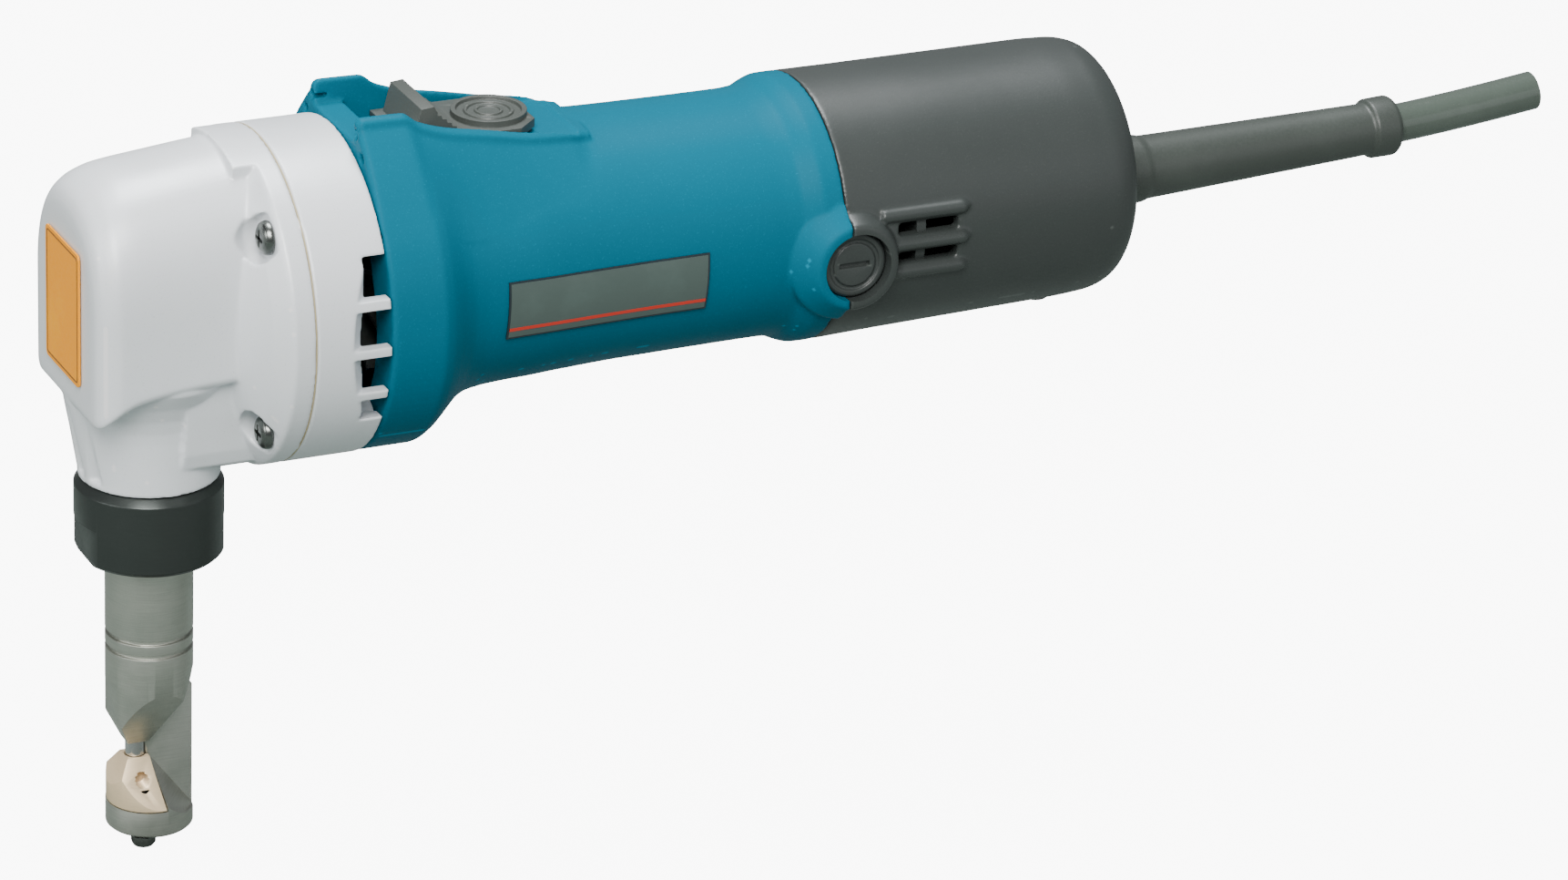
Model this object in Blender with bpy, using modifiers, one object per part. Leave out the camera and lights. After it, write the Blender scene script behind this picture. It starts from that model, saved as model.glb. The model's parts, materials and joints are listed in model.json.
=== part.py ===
"""A hand-held electric nibbler as an assembly of separate pieces.

Metres, +Z up.  The origin is where the motor axis (X) meets the die holder's
axis (Z).  +X runs back along the handle to the cord, and -Z runs down the die
holder to the cutting end.  Sheet metal enters the throat from -X.
"""

import math

import bmesh
import bpy
from mathutils import Matrix, Vector

# Driving dimensions
GAP = 0.0003  # running gap between neighbouring pieces
HEAD_FRONT = -0.0201
ARCH_START = 0.0020  # where the head's flat sides turn into its arch
HEAD_HALF_WIDTH = 0.024
FLANGE_FRONT = 0.020
SEAM = 0.026  # joint between the gear housing and the vent ring
HOUSING_FRONT = 0.0444
COVER_FRONT = 0.1610
REAR_END = 0.2406
RING_RADIUS = 0.0394
RING_DROP = -0.0036  # the round flange sits this far below the motor axis
RING_WALL = 0.0033
HANDLE_RADIUS = 0.0297
COLLAR_RADIUS = 0.0322
MOTOR_BORE = 0.0269
HOLDER_RADIUS = 0.0103
HOLDER_BOTTOM = -0.1343
NUT_RADIUS = 0.0174
NUT_TOP = -0.0446
NUT_BOTTOM = -0.0641
NECK_RADIUS = 0.0165
SPIGOT_RADIUS = 0.0136
PUNCH_OFFSET = -0.0036  # the punch stands in front of the holder's axis
PUNCH_RADIUS = 0.0023
GUIDE_TIP = -0.1126
DIE_TOP = -0.1154
DIE_BOTTOM = -0.1275
WEB_HALF = 0.0011
CRANK_THROW = 0.0035
RAM_RADIUS = 0.0070
RAM_COLLAR_RADIUS = 0.0115
COLLAR_GAP = 0.0080  # half the space between the ram's two collars
GEAR_MODULE = 0.001
PINION_TEETH = 8
IDLER_TEETH = 34
IDLER_PINION_TEETH = 12
CRANK_TEETH = 30
SHAFT_CENTRES = GEAR_MODULE * (PINION_TEETH + IDLER_TEETH) / 2
SHAFT_RADIUS = 0.0040
SCREW_SPREAD_Y = 0.0248
SCREW_SPREAD_Z = 0.0238
BRUSH_X = 0.1625
BRUSH_Z = -0.0029
TROUGH_HALF = 0.0123
TROUGH_FLOOR = 0.0299
KNOB_FRONT = 0.0580
KNOB_BOTTOM = 0.0309  # leaves room for the knob to rock
KNOB_REAR = 0.0920
CORD_RADIUS = 0.0048
GUARD_START = Vector((0.2406, 0, -0.0033))
GUARD_END = Vector((0.3227, 0, -0.0006))
CORD_END = Vector((0.3642, 0, 0.0035))
SHELL_RISE = 0.015  # how steeply the cover's shell climbs towards the back

SIDES = 24  # facets round an ordinary turned piece


# Scene and modelling helpers


def clear_scene():
    for obj in list(bpy.data.objects):
        bpy.data.objects.remove(obj, do_unlink=True)


def new_collection(name, hidden=False):
    made = bpy.data.collections.new(name)
    made.hide_render = hidden
    bpy.context.scene.collection.children.link(made)
    return made


clear_scene()
PIECES = new_collection("nibbler")
CUTTERS = new_collection("nibbler_cutters", hidden=True)


def make_material(name, colour, roughness, metallic):
    made = bpy.data.materials.new(name)
    made.use_nodes = True
    shader = made.node_tree.nodes["Principled BSDF"]
    shader.inputs["Base Color"].default_value = (*colour, 1)
    shader.inputs["Roughness"].default_value = roughness
    shader.inputs["Metallic"].default_value = metallic
    return made


CAST = make_material("cast_aluminium", (0.58, 0.59, 0.60), 0.45, 0.8)
TEAL = make_material("teal_plastic", (0.0, 0.21, 0.30), 0.5, 0.0)
BLACK = make_material("black_plastic", (0.05, 0.06, 0.06), 0.55, 0.0)
STEEL = make_material("steel", (0.52, 0.53, 0.54), 0.3, 1.0)
DARK_STEEL = make_material("black_oxide_steel", (0.07, 0.07, 0.08), 0.35, 0.9)
BRONZE = make_material("bronze_tool_steel", (0.55, 0.40, 0.20), 0.35, 1.0)
COPPER = make_material("copper", (0.72, 0.38, 0.22), 0.35, 1.0)
LAMINATION = make_material("laminated_iron", (0.30, 0.31, 0.33), 0.5, 0.9)
BRASS = make_material("brass", (0.75, 0.58, 0.28), 0.3, 1.0)
CARBON = make_material("carbon", (0.06, 0.06, 0.06), 0.6, 0.3)
RUBBER = make_material("rubber", (0.03, 0.03, 0.03), 0.8, 0.0)
CORD_SKIN = make_material("cord_skin", (0.16, 0.19, 0.16), 0.3, 0.0)
ORANGE = make_material("orange_label", (0.85, 0.25, 0.08), 0.4, 0.0)
PLATE = make_material("grey_plate", (0.45, 0.46, 0.47), 0.4, 0.6)


def place_mesh(name, shape, home, skin=None):
    """Turn a bmesh into an object in its collection, with its material and its faces out."""
    mesh = bpy.data.meshes.new(name)
    if shape.calc_volume(signed=True) < 0:
        bmesh.ops.reverse_faces(shape, faces=shape.faces)
    shape.to_mesh(mesh)
    shape.free()
    obj = bpy.data.objects.new(name, mesh)
    home.objects.link(obj)
    if home is CUTTERS:
        obj.hide_render = True
        obj.display_type = "WIRE"
    if skin:
        mesh.materials.append(skin)
    return obj


def rod(name, radius, start, end, skin=None, sides=SIDES, end_radius=None):
    """A cylinder or a cone between two points; a helper when it has no skin."""
    start, end = Vector(start), Vector(end)
    shape = bmesh.new()
    bmesh.ops.create_cone(
        shape, cap_ends=True, segments=sides, radius1=radius,
        radius2=radius if end_radius is None else end_radius,
        depth=(end - start).length,
    )
    turn = (end - start).to_track_quat("Z", "Y").to_matrix().to_4x4()
    shape.transform(Matrix.Translation((start + end) / 2) @ turn)
    return place_mesh(name, shape, PIECES if skin else CUTTERS, skin)


def block(name, low, high, skin=None):
    """A box between two corners; a helper when it has no skin."""
    low, high = Vector(low), Vector(high)
    shape = bmesh.new()
    bmesh.ops.create_cube(shape, size=1)
    shape.transform(Matrix.Translation((low + high) / 2) @ Matrix.Diagonal((*(high - low), 1)))
    return place_mesh(name, shape, PIECES if skin else CUTTERS, skin)


def loft(name, rings, skin=None):
    """A skin over closed rings of points, capped at both ends."""
    shape = bmesh.new()
    rows = [[shape.verts.new(point) for point in ring] for ring in rings]
    for row, after in zip(rows, rows[1:]):
        for i in range(len(row)):
            j = (i + 1) % len(row)
            shape.faces.new((row[i], row[j], after[j], after[i]))
    shape.faces.new(reversed(rows[0]))
    shape.faces.new(rows[-1])
    return place_mesh(name, shape, PIECES if skin else CUTTERS, skin)


def turned(name, profile, skin=None, origin=(0, 0, 0), along=(1, 0, 0), steps=SIDES):
    """Turn a profile of (distance along, radius) round the line through origin.

    A profile whose first and last points are on the line is left open there.
    """
    twice_area = sum(a[0] * b[1] - b[0] * a[1] for a, b in zip(profile, profile[1:] + profile[:1]))
    if twice_area < 0:
        profile = profile[::-1]
    shape = bmesh.new()
    points = [shape.verts.new((radius, 0, height)) for height, radius in profile]
    for a, b in zip(points, points[1:]):
        shape.edges.new((a, b))
    if max(profile[0][1], profile[-1][1]) > 0:
        shape.edges.new((points[-1], points[0]))
    mesh = bpy.data.meshes.new(name)
    shape.to_mesh(mesh)
    shape.free()
    obj = bpy.data.objects.new(name, mesh)
    (PIECES if skin else CUTTERS).objects.link(obj)
    obj.location = origin
    obj.rotation_euler = Vector(along).to_track_quat("Z", "Y").to_euler()
    screw = obj.modifiers.new("Turn", "SCREW")
    screw.steps = steps
    screw.render_steps = steps
    screw.use_merge_vertices = True
    screw.merge_threshold = 0.00001
    if skin:
        mesh.materials.append(skin)
    else:
        obj.hide_render = True
        obj.display_type = "WIRE"
    return obj


def combine(target, operation, helpers):
    for helper in helpers:
        step = target.modifiers.new(f"{operation} {helper.name}", "BOOLEAN")
        step.operation = operation
        step.solver = "EXACT"
        step.object = helper
    return target


def cut(target, *helpers):
    return combine(target, "DIFFERENCE", helpers)


def join(target, *helpers):
    return combine(target, "UNION", helpers)


def trim(target, *helpers):
    return combine(target, "INTERSECT", helpers)


def use_manifold_solver(obj):
    """For a piece on which the exact solver leaves open edges."""
    for step in obj.modifiers:
        if step.type == "BOOLEAN":
            step.solver = "MANIFOLD"


def centre_on(obj, point):
    """Move an object's origin to a point on its joint's axis."""
    point = Vector(point)
    obj.data.transform(Matrix.Translation(-point))
    obj.location = point
    return obj


def round_ring(x, centre_z, radius, sides=32):
    return [
        (x, radius * math.sin(2 * math.pi * i / sides), centre_z + radius * math.cos(2 * math.pi * i / sides))
        for i in range(sides)
    ]


def toothed_wheel(name, teeth, root, tip, start, end, widths, phase, skin=None):
    """A wheel along X with straight-sided teeth; widths are shares of the pitch at root and tip."""
    pitch = 2 * math.pi / teeth
    rings = []
    for x in (start, end):
        ring = []
        for tooth in range(teeth):
            middle = phase + tooth * pitch
            for radius, share in ((root, -widths[0]), (tip, -widths[1]), (tip, widths[1]), (root, widths[0])):
                angle = middle + share * pitch / 2
                ring.append((x, radius * math.cos(angle), radius * math.sin(angle)))
        rings.append(ring)
    return loft(name, rings, skin)


def gear(name, teeth, start, end, phase, skin=None):
    pitch_radius = GEAR_MODULE * teeth / 2
    return toothed_wheel(
        name, teeth, pitch_radius - 1.1 * GEAR_MODULE, pitch_radius + 0.8 * GEAR_MODULE,
        start, end, (0.62, 0.20), phase, skin,
    )


def tube(name, outer, inner, start, end, skin=None, origin=(0, 0, 0), along=(1, 0, 0), steps=SIDES):
    profile = [(start, inner), (start, outer), (end, outer), (end, inner)]
    return turned(name, profile, skin, origin, along, steps)


def screw_places():
    """The four corners of the housing screws, seen from the front."""
    for side in (-1, 1):
        for level in (1, -1):
            yield side * SCREW_SPREAD_Y, RING_DROP + level * SCREW_SPREAD_Z


# Head


def arch_ring(x, half_width, low, top, steps=12):
    """A section with flat sides, small chamfers below and a full arch above."""
    squareness = 2.3
    chamfer = 0.0022
    ring = []
    for i in range(steps + 1):
        angle = math.pi * i / steps
        across, up = math.cos(angle), math.sin(angle)
        y = math.copysign(abs(across) ** (2 / squareness), across) * half_width
        ring.append((x, y, ARCH_START + (top - ARCH_START) * abs(up) ** (2 / squareness)))
    ring += [(x, -half_width, low + chamfer), (x, -half_width + chamfer, low)]
    ring += [(x, half_width - chamfer, low), (x, half_width, low + chamfer)]
    return ring


def make_keel():
    """The rib under the head, rounded like the flange, from the neck back to the flange."""
    side = [(0.0205, -0.0140), (0.0172, -0.0382), (0.0120, -0.0408), (0.0060, -0.0421), (0, -0.0425)]
    outline = side + [(-y, z) for y, z in reversed(side[:-1])]
    return loft("head_keel", [[(x, y, z) for y, z in outline] for x in (0.0020, FLANGE_FRONT + 0.0010)])


def make_gear_housing():
    """The cast head: an arched body, a coned flange behind it, and a neck and keel below."""
    stations = (
        (HEAD_FRONT, 0.0180, -0.0205, 0.0217), (HEAD_FRONT + 0.0004, 0.0201, -0.0210, 0.0240),
        (-0.0188, 0.0218, -0.0208, 0.0262), (-0.0174, 0.0231, -0.0200, 0.0279),
        (-0.0144, HEAD_HALF_WIDTH, -0.0185, 0.0299), (-0.0100, HEAD_HALF_WIDTH, -0.0175, 0.0316),
        (0.0015, HEAD_HALF_WIDTH, -0.0162, 0.0331), (0.0140, HEAD_HALF_WIDTH, -0.0154, 0.0345),
        (FLANGE_FRONT + 0.0010, HEAD_HALF_WIDTH, -0.0150, 0.0351),
    )
    housing = loft("gear_housing", [arch_ring(*station) for station in stations], CAST)
    flange = turned(
        "head_flange",
        [(0.0120, 0), (0.0120, 0.0240), (0.0186, 0.0366), (FLANGE_FRONT, 0.0387),
         (FLANGE_FRONT + 0.0010, RING_RADIUS), (SEAM - GAP, RING_RADIUS), (SEAM - GAP, 0)],
        origin=(0, 0, RING_DROP), steps=36,
    )
    lip = rod("head_lip", RING_RADIUS, (0.0152, 0, RING_DROP), (FLANGE_FRONT + 0.0015, 0, RING_DROP), sides=36)
    trim(lip, block("head_lip_zone", (0.0140, -0.0135, 0.0200), (0.0230, 0.0135, 0.0500)))
    neck = turned(
        "head_neck",
        [(-0.0080, 0), (-0.0080, 0.0198), (-0.0245, 0.0200), (-0.0300, 0.0190), (-0.0370, 0.0177),
         (-0.0430, NECK_RADIUS), (NUT_TOP + GAP, NECK_RADIUS), (NUT_TOP + GAP, SPIGOT_RADIUS),
         (-0.0580, SPIGOT_RADIUS), (-0.0580, 0)],
        along=(0, 0, 1), steps=28,
    )
    idler_boss = rod("head_idler_boss", 0.0085, (0.010, 0, -SHAFT_CENTRES), (0.0215, 0, -SHAFT_CENTRES))
    join(housing, flange, lip, neck, make_keel(), idler_boss)
    gear_room = rod(
        "head_gear_room", RING_RADIUS - RING_WALL, (0.0221, 0, RING_DROP),
        (0.030, 0, RING_DROP), sides=36,
    )
    columns = [
        rod(f"head_column_{i}", 0.0050, (0.0212, y, z), (SEAM - GAP, y, z), sides=16)
        for i, (y, z) in enumerate(screw_places())
    ]
    cut(housing, gear_room)
    join(housing, *columns)
    cut(
        housing,
        rod("head_collar_room", RAM_COLLAR_RADIUS + 0.001, (0, 0, -0.0165), (0, 0, 0.0147)),
        rod("head_holder_bore", HOLDER_RADIUS + GAP, (0, 0, -0.060), (0, 0, -0.014)),
        rod("head_sleeve_bore", 0.0093, (0, 0, 0.010), (0, 0, 0.0268)),
        rod("head_crank_room", 0.0113, (0.004, 0, 0), (0.0142, 0, 0)),
        rod("head_bearing_bore", 0.0123, (0.0138, 0, 0), (0.024, 0, 0)),
        rod("head_idler_bore", 0.0063, (0.0168, 0, -SHAFT_CENTRES), (0.024, 0, -SHAFT_CENTRES)),
    )
    for i, (y, z) in enumerate(screw_places()):
        cut(
            housing,
            rod(f"head_screw_hole_{i}", 0.0023, (0.018, y, z), (0.028, y, z), sides=12),
            rod(f"head_screw_pocket_{i}", 0.0034, (0.0122, y, z), (0.0197, y, z), sides=20, end_radius=0.0056),
        )
    use_manifold_solver(housing)


def make_window(name, side, low, high):
    """A window's room: it slopes inwards from the front and is open to the back."""
    outline = [(0.0335, 0.0407), (0.0382, 0.0356), (0.0382, 0.0302), (0.0460, 0.0302), (0.0460, 0.0420), (0.0335, 0.0420)]
    return loft(name, [[(x, side * y, z) for x, y in outline] for z in (low, high)])


def make_vent_ring():
    """The ring that closes the gear room, holds the motor's front bearing and lets the air out."""
    ring = tube(
        "vent_ring", RING_RADIUS, RING_RADIUS - RING_WALL, SEAM, HOUSING_FRONT - GAP,
        CAST, (0, 0, RING_DROP), steps=36,
    )
    wall = rod("ring_wall", RING_RADIUS - 0.001, (0.0320, 0, RING_DROP), (0.0344, 0, RING_DROP), sides=36)
    boss = rod("ring_boss", 0.0135, (0.033, 0, 0), (0.0418, 0, 0))
    idler_boss = rod("ring_idler_boss", 0.0085, (0.033, 0, -SHAFT_CENTRES), (0.0384, 0, -SHAFT_CENTRES))
    columns = [
        rod(f"ring_column_{i}", 0.0050, (SEAM, y, z), (HOUSING_FRONT - GAP, y, z), sides=16)
        for i, (y, z) in enumerate(screw_places())
    ]
    join(ring, wall, boss, idler_boss, *columns)
    cut(
        ring,
        rod("ring_bearing_bore", 0.0113, (0.0346, 0, 0), (0.045, 0, 0)),
        rod("ring_shaft_hole", 0.0056, (0.030, 0, 0), (0.036, 0, 0), sides=24),
        rod("ring_idler_bore", 0.0063, (0.030, 0, -SHAFT_CENTRES), (0.0368, 0, -SHAFT_CENTRES)),
    )
    for i, (y, z) in enumerate(screw_places()):
        cut(ring, rod(f"ring_screw_hole_{i}", 0.0023, (0.024, y, z), (0.046, y, z), sides=12))
    windows = ((0.0162, 0.0069), (0.0047, -0.0043), (-0.0065, -0.0155), (-0.0184, -0.0226))
    for i, (high, low) in enumerate(windows):
        for side in (-1, 1):
            cut(ring, make_window(f"ring_window_{i}_{side}", side, low, high))
    use_manifold_solver(ring)


def make_housing_screws():
    """Four pan-head screws from the flange through the ring into the motor housing."""
    for i, (y, z) in enumerate(screw_places(), 1):
        profile = [
            (0.0172, 0), (0.0172, 0.0026), (0.0178, 0.0036), (0.0188, 0.0040),
            (FLANGE_FRONT - GAP, 0.0040), (FLANGE_FRONT - GAP, 0.0020), (0.0560, 0.0020), (0.0560, 0),
        ]
        screw = turned(f"housing_screw_{i}", profile, DARK_STEEL, (0, y, z), steps=12)
        slot = 0.0005
        cut(
            screw,
            block(f"screw_cross_{i}_a", (0.0165, y - slot, z - 0.0022), (0.0184, y + slot, z + 0.0022)),
            block(f"screw_cross_{i}_b", (0.0165, y - 0.0022, z - slot), (0.0184, y + 0.0022, z + slot)),
        )


def make_lock_nut():
    """The nut on the neck's thread that clamps the die holder, with two wrench flats."""
    profile = [
        (NUT_TOP, SPIGOT_RADIUS + GAP), (NUT_TOP, 0.0152), (-0.0468, NUT_RADIUS),
        (NUT_BOTTOM + 0.0008, NUT_RADIUS), (NUT_BOTTOM, NUT_RADIUS - 0.0008),
        (NUT_BOTTOM, HOLDER_RADIUS + GAP), (-0.0585, HOLDER_RADIUS + GAP),
        (-0.0585, SPIGOT_RADIUS + GAP),
    ]
    nut = turned("lock_nut", profile, DARK_STEEL, along=(0, 0, 1), steps=36)
    for side in (-1, 1):
        near, far = sorted((side * 0.0152, side * 0.020))
        cut(nut, block(f"nut_flat_{side}", (near, -0.02, NUT_BOTTOM - 0.002), (far, 0.02, -0.0545)))
    return nut


# Cutting end


def holder_outline():
    """The die holder's side view below the guide tip: the web and the foot."""
    return (
        (-0.0020, -0.1115), (-0.0014, -0.1150), (-0.0005, -0.1190), (0.0029, -0.1278),
        (0.0056, -0.1306), (0.0056, -0.1325), (0.0110, -0.1325), (0.0110, -0.1000), (-0.0020, -0.1000),
    )


def prism(name, outline, half_width, skin=None):
    """A side-view outline of (x, z) points given a width across the tool."""
    return loft(name, [[(x, y, z) for x, z in outline] for y in (-half_width, half_width)], skin)


def pyramid(name, half_width, level, far_level, slope, front_slope):
    """Four sloping flats round the punch's axis, the front one less steep than the others."""
    rise = abs(far_level - level)
    rings = []
    for height, run in ((level, 0), (far_level, rise)):
        front = PUNCH_OFFSET - half_width - run / front_slope
        back = PUNCH_OFFSET + half_width + run / slope
        side = half_width + run / slope
        rings.append([(back, side, height), (front, side, height), (front, -side, height), (back, -side, height)])
    return loft(name, rings)


def make_foot_wedge():
    """The gusset that braces the web: its top falls away backwards and to both sides."""
    outline = ((-0.0007, -0.1164), (0.0034, -0.1278), (0.0060, -0.1325), (0.0112, -0.1325), (0.0112, -0.1322))
    rings = []
    for y, drop in ((-0.0110, 0.0099), (-WEB_HALF, 0), (WEB_HALF, 0), (0.0110, 0.0099)):
        rings.append([(x, y, max(z - drop, -0.1335)) for x, z in outline])
    wedge = loft("holder_wedge", rings)
    room = prism(
        "holder_die_room",
        ((-0.0150, -0.1140), (-0.0009, -0.1140), (-0.0001, -0.1200), (0.0011, DIE_BOTTOM - GAP),
         (-0.0150, DIE_BOTTOM - GAP)), 0.013,
    )
    cut(wedge, room)
    return wedge


def make_die_holder():
    """The tube that guides the punch, with a thin web down to the foot that carries the die."""
    holder = rod("die_holder", HOLDER_RADIUS, (0, 0, HOLDER_BOTTOM), (0, 0, -0.022), STEEL, sides=28)
    top = -0.0930
    cone = pyramid("holder_tip_flats", 0.0029, GUIDE_TIP, top, 1.9, 1.18)
    upper = rod("holder_upper", 0.016, (0, 0, top - 0.0005), (0, 0, 0.0), sides=24)
    foot = prism(
        "holder_foot",
        ((-0.0150, -0.1400), (0.0150, -0.1400), (0.0150, -0.1325), (0.0060, -0.1325),
         (0.0016, DIE_BOTTOM - GAP), (-0.0150, DIE_BOTTOM - GAP)), 0.012,
    )
    web = prism("holder_web", holder_outline(), WEB_HALF)
    bottom = rod("holder_keep", 0.0125, (0, 0, -0.139), (0, 0, -0.1325), sides=24)
    trim(holder, join(bottom, foot, web, make_foot_wedge(), cone, upper))
    cut(
        holder,
        rod("holder_ram_bore", RAM_RADIUS + GAP, (0, 0, -0.0880), (0, 0, -0.015)),
        rod("holder_punch_bore", PUNCH_RADIUS + 0.0002, (PUNCH_OFFSET, 0, -0.1205), (PUNCH_OFFSET, 0, -0.085), sides=24),
        rod("holder_chip_hole", 0.0025, (PUNCH_OFFSET, 0, -0.137), (PUNCH_OFFSET, 0, -0.125), sides=24),
        block("holder_front_flat", (-0.0120, -0.0045, -0.1090), (-0.0093, 0.0045, -0.0965)),
    )
    for i, level in enumerate((-0.0840, -0.0876)):
        ring = tube(f"holder_gauge_{i}", 0.013, 0.0096, level - 0.0006, level + 0.0006, along=(0, 0, 1), steps=28)
        cut(holder, ring)
    for side in (-1, 1):
        hole = rod(
            f"holder_bolt_hole_{side}", 0.0017, (PUNCH_OFFSET, side * 0.0059, -0.136),
            (PUNCH_OFFSET, side * 0.0059, -0.125), sides=12,
        )
        cut(holder, hole)
    use_manifold_solver(holder)


def make_die():
    """The hardened die: four sloping flats round the punch hole on a half-round block."""
    die = rod("die", HOLDER_RADIUS - 0.0001, (0, 0, DIE_BOTTOM), (0, 0, DIE_TOP), BRONZE, sides=28)
    trim(die, pyramid("die_flats", 0.0030, DIE_TOP + 0.0001, DIE_BOTTOM - 0.002, 1.5, 1.05))
    back = prism(
        "die_back",
        ((-0.0012, -0.1140), (-0.0004, -0.1200), (0.0010, -0.1290), (0.013, -0.1290), (0.013, -0.1140)), 0.013,
    )
    web_slot = prism("die_web_slot", [(x - GAP, z) for x, z in holder_outline()], WEB_HALF + GAP)
    cut(
        die, back, web_slot,
        rod("die_punch_hole", PUNCH_RADIUS + 0.0002, (PUNCH_OFFSET, 0, -0.129), (PUNCH_OFFSET, 0, -0.113), sides=24),
        rod("die_front_hole", 0.0019, (PUNCH_OFFSET - 0.002, -0.012, -0.1213), (PUNCH_OFFSET, 0, -0.1213), sides=12),
    )
    for side in (-1, 1):
        hole = rod(
            f"die_bolt_hole_{side}", 0.0017, (PUNCH_OFFSET, side * 0.0059, -0.129),
            (PUNCH_OFFSET, side * 0.0059, -0.1228), sides=12,
        )
        cut(die, hole)
    return die


def make_die_bolts():
    """Two hexagon bolts that pull the die down onto the holder's foot."""
    for i, side in enumerate((-1, 1), 1):
        y = side * 0.0059
        bolt = rod(
            f"die_bolt_{i}", 0.0030, (PUNCH_OFFSET, y, HOLDER_BOTTOM - GAP - 0.0026),
            (PUNCH_OFFSET, y, HOLDER_BOTTOM - GAP), DARK_STEEL, sides=6,
        )
        shank = rod(
            f"die_bolt_shank_{i}", 0.0014, (PUNCH_OFFSET, y, HOLDER_BOTTOM - 0.001),
            (PUNCH_OFFSET, y, -0.1234), sides=12,
        )
        join(bolt, shank)


def make_punch():
    """The round punch, with a flat ground on it for the set screw."""
    rest_tip = DIE_TOP - 0.0008
    top = -0.0610
    punch = rod("punch", PUNCH_RADIUS, (PUNCH_OFFSET, 0, rest_tip), (PUNCH_OFFSET, 0, top), STEEL, sides=24)
    flat = block(
        "punch_flat", (PUNCH_OFFSET - 0.004, -0.004, -0.0700), (PUNCH_OFFSET - PUNCH_RADIUS + 0.0006, 0.004, -0.0640)
    )
    cut(punch, flat)
    return punch


def make_ram():
    """The plunger: a turned shaft with two collars that the crank's bearing pushes up and down."""
    profile = [
        (0.0220, 0), (0.0220, 0.0052), (0.0212, 0.0060), (0.0110, 0.0060), (0.0110, RAM_COLLAR_RADIUS),
        (COLLAR_GAP, RAM_COLLAR_RADIUS), (COLLAR_GAP, 0.0055),
        (-COLLAR_GAP, 0.0055), (-COLLAR_GAP, RAM_COLLAR_RADIUS),
        (-0.0110, RAM_COLLAR_RADIUS), (-0.0110, RAM_RADIUS), (-0.0720, RAM_RADIUS), (-0.0728, 0.0062), (-0.0728, 0),
    ]
    ram = turned("ram", profile, STEEL, along=(0, 0, 1))
    cut(
        ram,
        rod("ram_punch_socket", PUNCH_RADIUS + GAP, (PUNCH_OFFSET, 0, -0.075), (PUNCH_OFFSET, 0, -0.0605), sides=24),
        rod("ram_screw_hole", 0.0020, (-0.009, 0, -0.0670), (PUNCH_OFFSET, 0, -0.0670), sides=12),
    )
    return ram


def make_punch_set_screw():
    """The grub screw that holds the punch in the ram."""
    screw = rod("punch_set_screw", 0.0017, (-0.0068, 0, -0.0670), (-0.0056, 0, -0.0670), DARK_STEEL, sides=12)
    cut(screw, rod("set_screw_socket", 0.0008, (-0.0080, 0, -0.0670), (-0.0062, 0, -0.0670), sides=6))
    return screw


def make_ram_sleeve():
    """The bush that guides the ram's upper end."""
    return tube("ram_sleeve", 0.0090, 0.0060 + GAP, 0.0152, 0.0258, BRASS, along=(0, 0, 1))


# Crank and gears


def make_crankshaft():
    """The crankshaft: its pin stands off centre in front of a round web."""
    profile = [(0.0118, 0), (0.0118, 0.0105), (0.0136, 0.0105), (0.0136, 0.0060), (0.0270, 0.0060), (0.0270, 0)]
    shaft = turned("crankshaft", profile, STEEL)
    pin = rod("crank_pin", SHAFT_RADIUS, (0.0061, CRANK_THROW, 0), (0.0125, CRANK_THROW, 0), sides=24)
    return join(shaft, pin)


def make_crank_train():
    """The bearings and the gear on the crankshaft, and the bearing on its pin."""
    tube("eccentric_bearing", 0.0070, SHAFT_RADIUS + GAP, 0.0064, 0.0114, STEEL, (0, CRANK_THROW, 0))
    tube("crank_needle_bearing", 0.0120, 0.0060 + GAP, 0.0145, 0.0177, STEEL)
    tube("crank_ball_bearing", 0.0120, 0.0060 + GAP, 0.0180, 0.0219, STEEL)
    down = -math.pi / 2
    wheel = gear("crank_gear", CRANK_TEETH, 0.0224, 0.0268, down + math.pi / CRANK_TEETH, STEEL)
    cut(wheel, rod("crank_gear_bore", 0.0060 + GAP, (0.020, 0, 0), (0.030, 0, 0), sides=24))


def make_idler():
    """The countershaft below the crank, its pinion, its large gear and its two bushes."""
    centre = (0, 0, -SHAFT_CENTRES)
    lower = Matrix.Translation(centre)
    shaft = gear("idler_shaft", IDLER_PINION_TEETH, 0.0224, 0.0270, math.pi / 2, STEEL)
    shaft.matrix_world = lower
    join(
        shaft,
        rod("idler_shaft_rod", 0.0035, (0.0176, 0, -SHAFT_CENTRES), (0.0360, 0, -SHAFT_CENTRES), sides=24),
    )
    wheel = gear("idler_gear", IDLER_TEETH, 0.0273, 0.0317, math.pi / 2 + math.pi / IDLER_TEETH, STEEL)
    wheel.matrix_world = lower
    cut(
        wheel,
        rod("idler_gear_bore", 0.0035 + GAP, (0.025, 0, -SHAFT_CENTRES), (0.034, 0, -SHAFT_CENTRES), sides=24),
    )
    tube("idler_front_bush", 0.0060, 0.0035 + GAP, 0.0172, 0.0219, BRASS, centre, steps=24)
    tube("idler_rear_bush", 0.0060, 0.0035 + GAP, 0.0322, 0.0364, BRASS, centre, steps=24)


# Motor


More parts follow.
